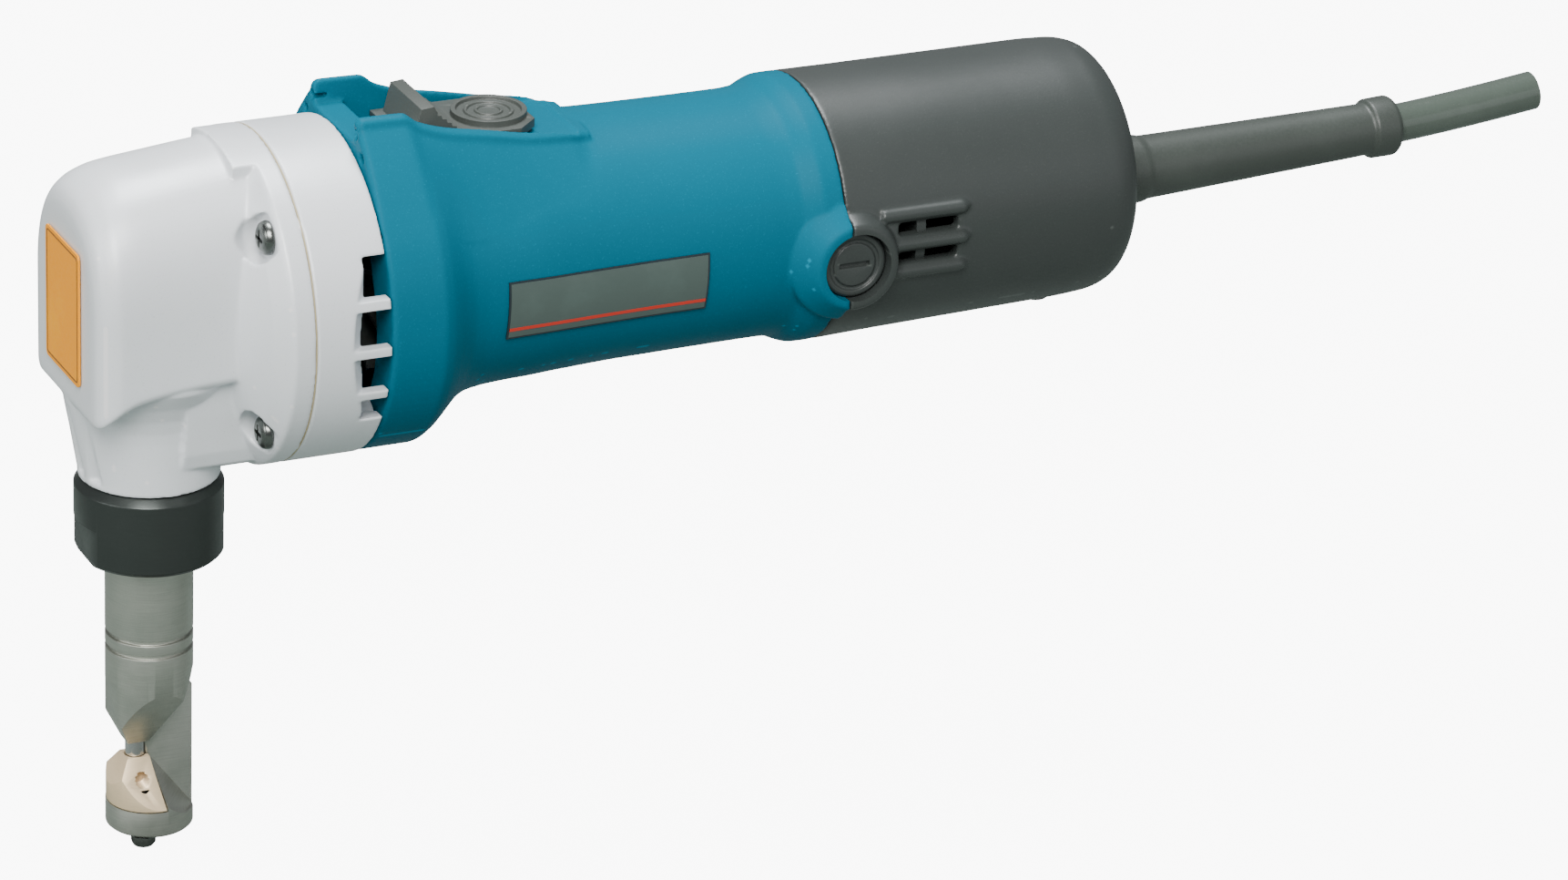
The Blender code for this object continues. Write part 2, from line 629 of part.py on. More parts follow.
def make_armature():
    """The motor shaft with its pinion, the wound core, the commutator and the fan."""
    shaft = gear("armature_shaft", PINION_TEETH, 0.0273, 0.0330, -math.pi / 2, STEEL)
    rest = turned(
        "armature_rod",
        [(0.0325, 0), (0.0325, 0.0040), (0.0800, 0.0040), (0.1795, 0.0040), (0.1800, 0.0035), (0.1800, 0)],
        steps=24,
    )
    join(shaft, rest)
    core = [
        (0.0740, 0.0043), (0.0740, 0.0095), (0.0780, 0.0130), (0.0835, 0.0140), (0.0840, 0.0158),
        (0.1340, 0.0158), (0.1345, 0.0140), (0.1400, 0.0130), (0.1460, 0.0095), (0.1460, 0.0043),
    ]
    turned("armature_core", core, LAMINATION)
    commutator = [
        (0.1500, 0.0043), (0.1500, 0.0125), (0.1520, 0.0125), (0.1520, 0.0115),
        (0.1700, 0.0115), (0.1700, 0.0043),
    ]
    turned("commutator", commutator, COPPER)
    fan = toothed_wheel("fan", 11, 0.0090, 0.0255, 0.0470, 0.0560, (0.22, 0.08), 0, BLACK)
    join(fan, rod("fan_disc", 0.0258, (0.0556, 0, 0), (0.0572, 0, 0), sides=28))
    cut(fan, rod("fan_bore", 0.0043, (0.044, 0, 0), (0.060, 0, 0), sides=24))


def make_motor_frame():
    """The field core, the air baffle and the two ball bearings of the motor."""
    field = tube("field_core", 0.0266, 0.0166, 0.0840, 0.1340, LAMINATION, steps=28)
    for side in (-1, 1):
        low, high = sorted((side * 0.0234, side * 0.030))
        cut(field, block(f"field_flat_{side}", (0.080, -0.03, low), (0.140, 0.03, high)))
    tube("baffle_plate", 0.0265, 0.0180, 0.0605, 0.0620, BLACK, steps=28)
    tube("motor_front_bearing", 0.0110, 0.0043, 0.0350, 0.0420, STEEL)
    tube("motor_rear_bearing", 0.0095, 0.0043, 0.1735, 0.1795, STEEL)
    tube("bearing_rubber_ring", 0.0112, 0.0098, 0.1737, 0.1793, RUBBER)


# Casings


def brush_boss(name, side, radius=0.0110):
    return rod(
        name, radius, (BRUSH_X, side * 0.020, BRUSH_Z), (BRUSH_X, side * 0.0355, BRUSH_Z), sides=24
    )


def brush_bores(name, side):
    """The room for a brush holder and, wider, for its cap."""
    return (
        rod(f"{name}_bore_{side}", 0.0072, (BRUSH_X, side * 0.010, BRUSH_Z), (BRUSH_X, side * 0.037, BRUSH_Z), sides=24),
        rod(f"{name}_mouth_{side}", 0.0084, (BRUSH_X, side * 0.0312, BRUSH_Z), (BRUSH_X, side * 0.037, BRUSH_Z), sides=24),
    )


def cover_screw_places():
    yield 0.0170, 0.0165
    yield -0.0170, -0.0165


def hood_ring(x, top, half_width, shoulder):
    """The hood's section: a shoulder on each side and a narrower, rounded top."""
    base, low, round_off = 0.0240, 0.0150, 0.0022
    side = [
        (base, low), (base - 0.0006, shoulder), (half_width, top - round_off), (half_width - round_off * 0.3, top - round_off * 0.3),
        (half_width - round_off, top),
    ]
    return [(x, y, z) for y, z in side] + [(x, -y, z) for y, z in reversed(side)]


# The teal body's outer shape from the flange to the collar: x, height of the centre, radius
BODY_STATIONS = (
    (HOUSING_FRONT, -0.0034, 0.0391), (0.0460, -0.0034, 0.0394), (0.0570, -0.0034, 0.0394),
    (0.0595, -0.0033, 0.0384), (0.0620, -0.0031, 0.0366), (0.0650, -0.0026, 0.0343),
    (0.0680, -0.0018, 0.0326), (0.0720, -0.0010, 0.0316), (0.0780, -0.0005, 0.0312), (0.0860, -0.0002, 0.0311),
    (0.0960, -0.0002, 0.0306), (0.1120, -0.0002, 0.0300), (0.1460, -0.0001, HANDLE_RADIUS), (0.1510, 0.0, 0.0301),
    (0.1545, 0.0, 0.0316), (0.1570, 0.0, COLLAR_RADIUS), (COVER_FRONT - GAP, 0.0, COLLAR_RADIUS),
)


def make_motor_housing():
    """The teal body: a round flange, a slim grip and a collar at the back, with the switch's hood."""
    housing = loft("motor_housing", [round_ring(*station) for station in BODY_STATIONS], TEAL)
    hood_line = (
        (HOUSING_FRONT + 0.0002, 0.0400, 0.0150, 0.0302), (0.0458, 0.0414, 0.0152, 0.0312),
        (0.0560, 0.0412, 0.0152, 0.0310), (0.0600, 0.0383, 0.0150, 0.0285), (0.0670, 0.0356, 0.0150, 0.0232),
        (0.0760, 0.0340, 0.0150, 0.0210), (0.0880, 0.0322, 0.0150, 0.0200), (0.1000, 0.0312, 0.0135, 0.0192),
        (0.1080, 0.0300, 0.0105, 0.0184),
    )
    hood = loft("housing_hood", [hood_ring(*row) for row in hood_line])
    join(housing, hood)
    bosses = [brush_boss(f"housing_boss_{side}", side) for side in (-1, 1)]
    behind = block("housing_behind", (COVER_FRONT - GAP, -0.05, -0.05), (0.19, 0.05, 0.05))
    for boss in bosses:
        cut(boss, behind)
    join(housing, *bosses)
    cut(
        housing,
        rod("housing_bore", MOTOR_BORE, (0.040, 0, 0), (0.165, 0, 0), sides=28),
        rod("housing_mouth", 0.0290, (0.040, 0, -0.0060), (0.0640, 0, -0.0060), sides=28),
        block("housing_trough", (0.0516, -TROUGH_HALF, TROUGH_FLOOR), (0.1010, TROUGH_HALF, 0.05)),
        block("housing_trough_front", (0.0430, -TROUGH_HALF, 0.0358), (0.0540, TROUGH_HALF, 0.05)),
        block("housing_switch_slot", (0.0664, -0.0031, 0.024), (0.0802, 0.0031, 0.033)),
    )
    columns = [
        rod(f"housing_column_{i}", 0.0042, (0.146, y, z), (COVER_FRONT - GAP, y, z), sides=16)
        for i, (y, z) in enumerate(cover_screw_places())
    ]
    join(housing, *columns)
    for i, (y, z) in enumerate(cover_screw_places()):
        cut(housing, rod(f"housing_column_hole_{i}", 0.0018, (0.1495, y, z), (0.165, y, z), sides=12))
    for i, (y, z) in enumerate(screw_places()):
        cut(housing, rod(f"housing_screw_hole_{i}", 0.0023, (0.040, y, z), (0.0570, y, z), sides=12))
    for side in (-1, 1):
        cut(housing, *brush_bores("housing", side))
    return housing


def make_rear_cover():
    """The black end cover, closed at the back by a shallow dome."""
    outer = [
        (COVER_FRONT - 0.0010, COLLAR_RADIUS), (0.1750, 0.0318), (0.2250, 0.0311), (0.2325, 0.0306),
        (0.2365, 0.0290), (0.2389, 0.0262), (0.2402, 0.0220), (REAR_END, 0.0160), (REAR_END, 0),
    ]
    inner = [
        (0.2376, 0), (0.2376, 0.0180), (0.2340, 0.0252), (0.2280, 0.0280), (0.1750, 0.0294),
        (COVER_FRONT - 0.0010, 0.0294),
    ]
    cover = turned(
        "rear_cover", outer + inner, BLACK, (0, 0, -SHELL_RISE * COVER_FRONT), (1, 0, SHELL_RISE), steps=32
    )
    bosses = [brush_boss(f"cover_boss_{side}", side) for side in (-1, 1)]
    before = block("cover_before", (0.14, -0.05, -0.05), (COVER_FRONT, 0.05, 0.05))
    for piece in (cover, *bosses):
        cut(piece, before)
    wall = rod("cover_wall", 0.0305, (0.1798, 0, 0), (0.1822, 0, 0), sides=28)
    seat = rod("cover_bearing_seat", 0.0136, (0.1732, 0, 0), (0.1810, 0, 0))
    posts = [
        rod(f"cover_clamp_post_{side}", 0.0030, (0.2230, side * 0.0090, -0.0285), (0.2230, side * 0.0090, 0.0017), sides=12)
        for side in (-1, 1)
    ]
    columns = [
        rod(f"cover_column_{i}", 0.0042, (COVER_FRONT, y, z), (0.2330, y, z), sides=16)
        for i, (y, z) in enumerate(cover_screw_places())
    ]
    join(cover, *bosses, wall, seat, *posts, *columns)
    cut(
        cover,
        rod("cover_seat_bore", 0.0115, (0.170, 0, 0), (0.1796, 0, 0)),
        rod("cover_shaft_hole", 0.0050, (0.178, 0, 0), (0.190, 0, 0), sides=24),
        rod("cover_cord_hole", 0.0064, (0.232, 0, -0.0034), (0.244, 0, -0.0033), sides=24),
        block("cover_bar_slot", (0.175, -0.0042, 0.0232), (0.186, 0.0042, 0.0278)),
    )
    for side in (-1, 1):
        post = (0.2230, side * 0.0090)
        cut(
            cover, *brush_bores("cover", side),
            rod(f"cover_clamp_hole_{side}", 0.0014, (*post, -0.012), (*post, 0.005), sides=12),
        )
    for i, (y, z) in enumerate(cover_screw_places()):
        cut(
            cover,
            rod(f"cover_screw_hole_{i}", 0.0018, (0.158, y, z), (0.230, y, z), sides=12),
            rod(f"cover_screw_mouth_{i}", 0.0039, (0.2260, y, z), (0.244, y, z), sides=16),
        )
    for i, level in enumerate((0.0074, 0.0, -0.0074)):
        for side in (-1, 1):
            near, far = sorted((side * 0.0270, side * 0.035))
            cut(cover, block(f"cover_slot_{i}_{side}", (0.1760, near, level - 0.0011), (0.1920, far, level + 0.0011)))
    use_manifold_solver(cover)
    return cover


def make_rear_cover_screws():
    for i, (y, z) in enumerate(cover_screw_places(), 1):
        profile = [
            (0.1500, 0), (0.1500, 0.0015), (0.2262, 0.0015), (0.2262, 0.0034), (0.2280, 0.0034),
            (0.2288, 0.0024), (0.2288, 0),
        ]
        turned(f"rear_cover_screw_{i}", profile, DARK_STEEL, (0, y, z), steps=12)


# Brushes


def make_brush_sets():
    """A holder, a carbon brush, its spring and its slotted cap on each side."""
    for i, side in enumerate((-1, 1), 1):
        along = (0, side, 0)
        foot = (BRUSH_X, 0, BRUSH_Z)
        holder = rod(
            f"brush_holder_{i}", 0.0069, (BRUSH_X, side * 0.0140, BRUSH_Z),
            (BRUSH_X, side * 0.0308, BRUSH_Z), BRASS, sides=24,
        )
        low, high = sorted((side * 0.012, side * 0.033))
        cut(
            holder,
            block(f"holder_channel_{i}", (BRUSH_X - 0.0043, low, BRUSH_Z - 0.0028), (BRUSH_X + 0.0043, high, BRUSH_Z + 0.0028)),
            rod(f"holder_mouth_{i}", 0.0056, (BRUSH_X, side * 0.0268, BRUSH_Z), (BRUSH_X, side * 0.0330, BRUSH_Z), sides=24),
        )
        low, high = sorted((side * 0.0119, side * 0.0225))
        block(f"carbon_brush_{i}", (BRUSH_X - 0.0040, low, BRUSH_Z - 0.0025), (BRUSH_X + 0.0040, high, BRUSH_Z + 0.0025), CARBON)
        make_brush_spring(f"brush_spring_{i}", side)
        cap = turned(
            f"brush_cap_{i}",
            [(0.0284, 0), (0.0284, 0.0053), (0.0315, 0.0053), (0.0315, 0.0080),
             (0.0328, 0.0080), (0.0334, 0.0073), (0.0334, 0)],
            BLACK, foot, along,
        )
        low, high = sorted((side * 0.0322, side * 0.036))
        cut(cap, block(f"cap_slot_{i}", (BRUSH_X - 0.009, low, BRUSH_Z - 0.0008), (BRUSH_X + 0.009, high, BRUSH_Z + 0.0008)))


def make_brush_spring(name, side):
    """An open coil between the brush and its cap."""
    turns, per_turn, radius, wire = 4, 8, 0.0019, 0.00028
    start, end = 0.0231, 0.0278
    curve = bpy.data.curves.new(name, "CURVE")
    curve.dimensions = "3D"
    curve.bevel_depth = wire
    curve.bevel_resolution = 1
    curve.use_fill_caps = True
    line = curve.splines.new("POLY")
    count = turns * per_turn + 1
    line.points.add(count - 1)
    for i in range(count):
        angle = 2 * math.pi * i / per_turn
        y = side * (start + (end - start) * i / (count - 1))
        line.points[i].co = (
            BRUSH_X + radius * math.cos(angle), y, BRUSH_Z + radius * math.sin(angle), 1,
        )
    curve.materials.append(STEEL)
    spring = bpy.data.objects.new(name, curve)
    PIECES.objects.link(spring)


# Switch


def make_switch():
    """The thumb slide on top, its bar along the motor and the switch it works."""
    knob = block("switch_knob", (KNOB_FRONT, -0.0112, KNOB_BOTTOM), (KNOB_REAR, 0.0112, 0.0330), BLACK)
    fin = prism(
        "knob_fin",
        ((0.0605, 0.0325), (0.0622, 0.0398), (0.0628, 0.0404), (0.0650, 0.0404), (0.0658, 0.0396),
         (0.0662, 0.0380), (0.0712, 0.0338), (0.0722, 0.0325)),
        0.0096,
    )
    pad = turned(
        "knob_pad", [(0.0325, 0), (0.0325, 0.0089), (0.0338, 0.0089), (0.0338, 0)],
        origin=(0.0830, 0, 0), along=(0, 0, 1),
    )
    steps = [
        block(f"knob_step_{i}", (0.0640, -0.0095, z - 0.0030), (x, 0.0095, z))
        for i, (x, z) in enumerate(((0.0676, 0.0378), (0.0690, 0.0366), (0.0704, 0.0354), (0.0718, 0.0342)))
    ]
    stem = block("knob_stem", (0.0730, -0.0026, 0.0272), (0.0790, 0.0026, 0.0310))
    join(knob, fin, pad, stem, *steps)
    centre_on(knob, (0.0760, 0, 0.0303))
    block("switch_slide_bar", (0.0720, -0.0034, 0.0247), (0.1990, 0.0034, 0.0263), BLACK)
    unit = block("switch_unit", (0.1880, -0.0095, 0.0060), (0.2140, 0.0095, 0.0205), BLACK)
    cut(unit, block("switch_lever_room", (0.1960, -0.0036, 0.0180), (0.2030, 0.0036, 0.0220)))


# Cord


def guard_line(x):
    """A point on the cord guard's axis."""
    share = (x - GUARD_START.x) / (GUARD_END.x - GUARD_START.x)
    return GUARD_START.lerp(GUARD_END, share)


def make_cord_guard():
    """The flexible sleeve that keeps the cord from kinking at the cover."""
    profile = [
        (-0.0062, 0.0052), (-0.0062, 0.0088), (-0.0033, 0.0088), (-0.0033, 0.0060), (0.0004, 0.0060),
        (0.0004, 0.0078), (0.0016, 0.0082), (0.0130, 0.0080), (0.0150, 0.0074), (0.0765, 0.0060),
        (0.0775, 0.0072), (0.0835, 0.0073), (0.0845, 0.0066), (0.0845, 0.0052),
    ]
    return turned("cord_guard", profile, RUBBER, GUARD_START, GUARD_END - GUARD_START, steps=24)


def make_power_cord():
    """The cord from inside the cover to its cut end behind the guard."""
    curve = bpy.data.curves.new("power_cord", "CURVE")
    curve.dimensions = "3D"
    curve.bevel_depth = CORD_RADIUS
    curve.bevel_resolution = 3
    curve.use_fill_caps = True
    bend_steps = 6
    path = [guard_line(0.2170), guard_line(0.2700), GUARD_END]
    for i in range(1, bend_steps + 1):
        share = i / bend_steps
        point = GUARD_END.lerp(CORD_END, share)
        straight = guard_line(point.x)
        path.append(straight.lerp(point, share))
    line = curve.splines.new("POLY")
    line.points.add(len(path) - 1)
    for i, point in enumerate(path):
        line.points[i].co = (*point, 1)
    curve.materials.append(CORD_SKIN)
    cord = bpy.data.objects.new("power_cord", curve)
    PIECES.objects.link(cord)


def make_cord_clamp():
    """The strap over the cord inside the cover, and its two screws."""
    strap = block("cord_clamp", (0.2190, -0.0120, 0.0021), (0.2270, 0.0120, 0.0041), BLACK)
    for i, side in enumerate((-1, 1), 1):
        place = (0.2230, side * 0.0090)
        cut(strap, rod(f"clamp_hole_{i}", 0.0014, (*place, 0.0), (*place, 0.006), sides=12))
        profile = [
            (-0.0100, 0), (-0.0100, 0.0011), (0.0044, 0.0011), (0.0044, 0.0022), (0.0057, 0.0020), (0.0057, 0),
        ]
        turned(f"cord_clamp_screw_{i}", profile, STEEL, (*place, 0), (0, 0, 1), steps=12)


# Labels


def make_labels():
    """A blank label on the head's front and a blank plate on the near side of the grip."""
    block("front_label", (HEAD_FRONT - GAP - 0.0004, -0.0112, -0.0165), (HEAD_FRONT - GAP, 0.0112, 0.0158), ORANGE)
    arc_steps = 8
    rings = []
    for x, centre_z, radius in ((0.0758, -0.0007, 0.0315), *BODY_STATIONS[8:12], (0.1268, -0.0002, 0.0299)):
        angles = [math.radians(-20 + 27.5 * i / arc_steps) for i in range(arc_steps + 1)]
        inner, outer = radius + 0.0002, radius + 0.0006
        near = [(x, -outer * math.cos(a), centre_z + outer * math.sin(a)) for a in angles]
        back = [(x, -inner * math.cos(a), centre_z + inner * math.sin(a)) for a in reversed(angles)]
        rings.append(near + back)
    loft("name_plate", rings, PLATE)


def shade_pieces():
    """Round pieces are smooth except at their edges."""
    for obj in PIECES.objects:
        if obj.type == "MESH" and not any(step.type == "SCREW" for step in obj.modifiers):
            obj.data.shade_smooth()
            obj.data.set_sharp_from_angle(angle=math.radians(35))


def stand_on_foot():
    """Everything is laid out round the motor's axis, then raised until the foot is at height zero."""
    for obj in bpy.data.objects:
        obj.location.z -= HOLDER_BOTTOM


def build():
    make_gear_housing()
    make_vent_ring()
    make_housing_screws()
    make_lock_nut()
    make_die_holder()
    make_die()
    make_die_bolts()
    make_punch()
    make_ram()
    make_punch_set_screw()
    make_ram_sleeve()
    make_crankshaft()
    make_crank_train()
    make_idler()
    make_armature()
    make_motor_frame()
    make_motor_housing()
    make_rear_cover()
    make_rear_cover_screws()
    make_brush_sets()
    make_switch()
    make_cord_guard()
    make_power_cord()
    make_cord_clamp()
    make_labels()
    shade_pieces()
    stand_on_foot()


build()
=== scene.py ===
"""The looks of a hand-held nibbler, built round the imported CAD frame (metres, +Z up)."""

import json
import math

import bmesh
import bpy
from mathutils import Matrix, Vector


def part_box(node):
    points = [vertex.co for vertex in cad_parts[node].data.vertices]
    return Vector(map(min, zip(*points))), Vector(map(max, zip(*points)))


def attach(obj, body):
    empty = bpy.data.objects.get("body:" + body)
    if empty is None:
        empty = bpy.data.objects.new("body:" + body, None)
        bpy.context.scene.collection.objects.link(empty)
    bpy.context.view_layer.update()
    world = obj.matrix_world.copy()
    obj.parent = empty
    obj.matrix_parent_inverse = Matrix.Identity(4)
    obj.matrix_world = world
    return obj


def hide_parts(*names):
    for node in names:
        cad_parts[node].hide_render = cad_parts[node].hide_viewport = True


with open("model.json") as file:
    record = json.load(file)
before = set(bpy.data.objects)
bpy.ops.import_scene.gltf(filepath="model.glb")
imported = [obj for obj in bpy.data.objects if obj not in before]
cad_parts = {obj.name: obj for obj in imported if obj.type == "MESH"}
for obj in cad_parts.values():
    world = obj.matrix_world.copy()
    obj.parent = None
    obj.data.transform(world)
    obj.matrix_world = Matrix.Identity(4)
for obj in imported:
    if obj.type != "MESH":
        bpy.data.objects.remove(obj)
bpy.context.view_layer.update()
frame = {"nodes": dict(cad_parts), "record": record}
NODES = frame["nodes"]

MM = 0.001
SHAFT_LOW, SHAFT_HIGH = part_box("armature_shaft")
AXIS_HEIGHT = (SHAFT_LOW.z + SHAFT_HIGH.z) / 2


def place(node):
    """A CAD node's box. Shapes are laid out round the motor's axis and raised when they are finished."""
    low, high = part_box(node)
    return low - Vector((0, 0, AXIS_HEIGHT)), high - Vector((0, 0, AXIS_HEIGHT))


def mm(*points):
    """Points given in millimetres, turned into metres."""
    return [tuple(value * MM for value in point) for point in points]


def full_turn(steps):
    """The angles of evenly spaced points round a circle."""
    return [2 * math.pi * i / steps for i in range(steps)]


def middles(boxes):
    """The (y, z) of each box's middle."""
    return [((low.y + high.y) / 2, (low.z + high.z) / 2) for low, high in boxes]


# Places that the frame gives
HEAD_LOW, HEAD_HIGH = place("gear_housing")
RING_LOW, RING_HIGH = place("vent_ring")
HOUSING_LOW, HOUSING_HIGH = place("motor_housing")
COVER_LOW, COVER_HIGH = place("rear_cover")
NUT_LOW, NUT_HIGH = place("lock_nut")
HOLDER_LOW, HOLDER_HIGH = place("die_holder")
DIE_LOW, DIE_HIGH = place("die")
PUNCH_LOW, PUNCH_HIGH = place("punch")
RING_RADIUS = (RING_HIGH.z - RING_LOW.z) / 2
RING_CENTRE = (RING_HIGH.z + RING_LOW.z) / 2
COLLAR_RADIUS = 32.2 * MM
SHELL_RISE = 0.015  # how steeply the cover's shell climbs towards the back
HOLDER_RADIUS = HOLDER_HIGH.x
NUT_RADIUS = NUT_HIGH.x
PUNCH_X = (PUNCH_LOW.x + PUNCH_HIGH.x) / 2
CAP_LOW, CAP_HIGH = place("brush_cap_1")
CAP_X = (CAP_LOW.x + CAP_HIGH.x) / 2
CAP_Z = (CAP_LOW.z + CAP_HIGH.z) / 2
SCREW_BOXES = [place(f"housing_screw_{i}") for i in range(1, 5)]
SCREWS = middles(SCREW_BOXES)
COVER_SCREWS = middles(place(f"rear_cover_screw_{i}") for i in (1, 2))
IDLER_Z = middles([place("idler_gear")])[0][1]

# Sizes that several pieces share
RING_WALL = 3.3 * MM
SLIP = 0.3 * MM  # the gap round the die holder
SCREW_HOLE = 2.3 * MM
COVER_SCREW_HOLE = 1.8 * MM
DIE_BOLT_HOLE = 1.7 * MM
DIE_BOLT_SPREAD = 5.9 * MM
PUNCH_HOLE = 2.5 * MM
TROUGH_HALF = 12.3 * MM
TROUGH_FLOOR = 29.9 * MM


# ---------- mesh helpers


def new_object(name, shape):
    """An object in the scene from a bmesh, its faces turned out."""
    if shape.calc_volume(signed=True) < 0:
        bmesh.ops.reverse_faces(shape, faces=shape.faces)
    mesh = bpy.data.meshes.new(name)
    shape.to_mesh(mesh)
    shape.free()
    obj = bpy.data.objects.new(name, mesh)
    bpy.context.scene.collection.objects.link(obj)
    return obj


def loft(name, rings):
    """A closed skin over rings that all have the same number of points."""
    shape = bmesh.new()
    rows = [[shape.verts.new(point) for point in ring] for ring in rings]
    for row, after in zip(rows, rows[1:]):
        for i in range(len(row)):
            j = (i + 1) % len(row)
            shape.faces.new((row[i], row[j], after[j], after[i]))
    shape.faces.new(reversed(rows[0]))
    shape.faces.new(rows[-1])
    return new_object(name, shape)


def rod(name, radius, start, end, sides=48, end_radius=None):
    """A round bar from start to end, tapered if it has an end radius."""
    start, end = Vector(start), Vector(end)
    shape = bmesh.new()
    bmesh.ops.create_cone(
        shape, cap_ends=True, segments=sides, radius1=radius,
        radius2=radius if end_radius is None else end_radius, depth=(end - start).length,
    )
    turn = (end - start).to_track_quat("Z", "Y").to_matrix().to_4x4()
    shape.transform(Matrix.Translation((start + end) / 2) @ turn)
    return new_object(name, shape)


def block(name, low, high):
    """A box between two corners."""
    low, high = Vector(low), Vector(high)
    shape = bmesh.new()
    bmesh.ops.create_cube(shape, size=1)
    shape.transform(Matrix.Translation((low + high) / 2) @ Matrix.Diagonal((*(high - low), 1)))
    return new_object(name, shape)


def prism(name, outline, low_y, high_y):
    """An (x, z) outline drawn out along Y."""
    return loft(name, [[(x, y, z) for x, z in outline] for y in (low_y, high_y)])


def rounded(profile, radius, closed, steps=4):
    """The profile with each corner replaced by a short arc-like curve."""
    count = len(profile)
    made = []
    for i, point in enumerate(profile):
        here = Vector(point)
        if not closed and i in (0, count - 1):
            made.append(tuple(here))
            continue
        before, after = Vector(profile[i - 1]), Vector(profile[(i + 1) % count])
        reach = min(radius, (before - here).length * 0.45, (after - here).length * 0.45)
        start = here + (before - here).normalized() * reach
        end = here + (after - here).normalized() * reach
        for step in range(steps + 1):
            t = step / steps
            made.append(tuple(start.lerp(here, t).lerp(here.lerp(end, t), t)))
    return made


def turned(name, profile, origin=(0, 0, 0), along=(1, 0, 0), steps=96, edge=0.3 * MM):
    """A profile of (distance along, radius) turned round a line, its edges softened."""
    on_axis = profile[0][1] == 0 and profile[-1][1] == 0
    if edge:
        profile = rounded(profile, edge, not on_axis)
    shape = bmesh.new()
    rows = []
    for height, radius in profile:
        if radius < 1e-7:
            rows.append([shape.verts.new((0, 0, height))])
            continue
        ring = [(radius * math.cos(a), radius * math.sin(a), height) for a in full_turn(steps)]
        rows.append([shape.verts.new(point) for point in ring])
    pairs = list(zip(rows, rows[1:]))
    if not on_axis:
        pairs.append((rows[-1], rows[0]))
    for row, after in pairs:
        for i in range(steps):
            j = (i + 1) % steps
            corners = [row[i % len(row)], row[j % len(row)], after[j % len(after)], after[i % len(after)]]
            shape.faces.new(list(dict.fromkeys(corners)))
    turn = Vector(along).to_track_quat("Z", "Y").to_matrix().to_4x4()
    shape.transform(Matrix.Translation(origin) @ turn)
    return new_object(name, shape)


def bake(obj):
    """Apply every modifier to the mesh."""
    bpy.context.view_layer.update()
    graph = bpy.context.evaluated_depsgraph_get()
    mesh = bpy.data.meshes.new_from_object(obj.evaluated_get(graph))
    obj.modifiers.clear()
    obj.data = mesh
    return obj


def combine(target, operation, helpers):
    """Cut, join or trim the target with helpers, which are then removed."""
    for helper in helpers:
        step = target.modifiers.new(helper.name, "BOOLEAN")
        step.operation = operation
        step.solver = "MANIFOLD"
        step.object = helper
    bake(target)
    for helper in helpers:
        bpy.data.objects.remove(helper, do_unlink=True)
    return target


def cut(target, *helpers):
    return combine(target, "DIFFERENCE", helpers)


def join(target, *helpers):
    return combine(target, "UNION", helpers)


def trim(target, *helpers):
    return combine(target, "INTERSECT", helpers)


def soften(obj, voxel, rounds):
    """Turn sharp joins into cast or moulded fillets: an even mesh, then relaxed."""
    remesh = obj.modifiers.new("Remesh", "REMESH")
    remesh.mode = "VOXEL"
    remesh.voxel_size = voxel * 1.0
    smooth = obj.modifiers.new("Smooth", "SMOOTH")
    smooth.factor = 0.5
    smooth.iterations = rounds
    return bake(obj)


def add_bevel(obj, width, segments, angle):
    """Round the edges sharper than an angle, as a modifier."""
    step = obj.modifiers.new("Bevel", "BEVEL")
    step.width = width
    step.segments = segments
    step.limit_method = "ANGLE"
    step.angle_limit = math.radians(angle)


def bevel(obj, width, segments=3, angle=30):
    add_bevel(obj, width, segments, angle)
    return bake(obj)


def finish_piece(obj, skin, slot, body, *nodes, angle=None):
    """Paint and shade a piece, raise it, and let it ride on its body in place of its CAD nodes."""
    obj.data.materials.clear()
    obj.data.materials.append(skin)
    obj.data.shade_smooth()
    if angle:
        obj.data.set_sharp_from_angle(angle=math.radians(angle))
    obj.location.z += AXIS_HEIGHT
    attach(obj, body)
    if nodes:
        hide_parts(*nodes)
    return obj


# ---------- materials


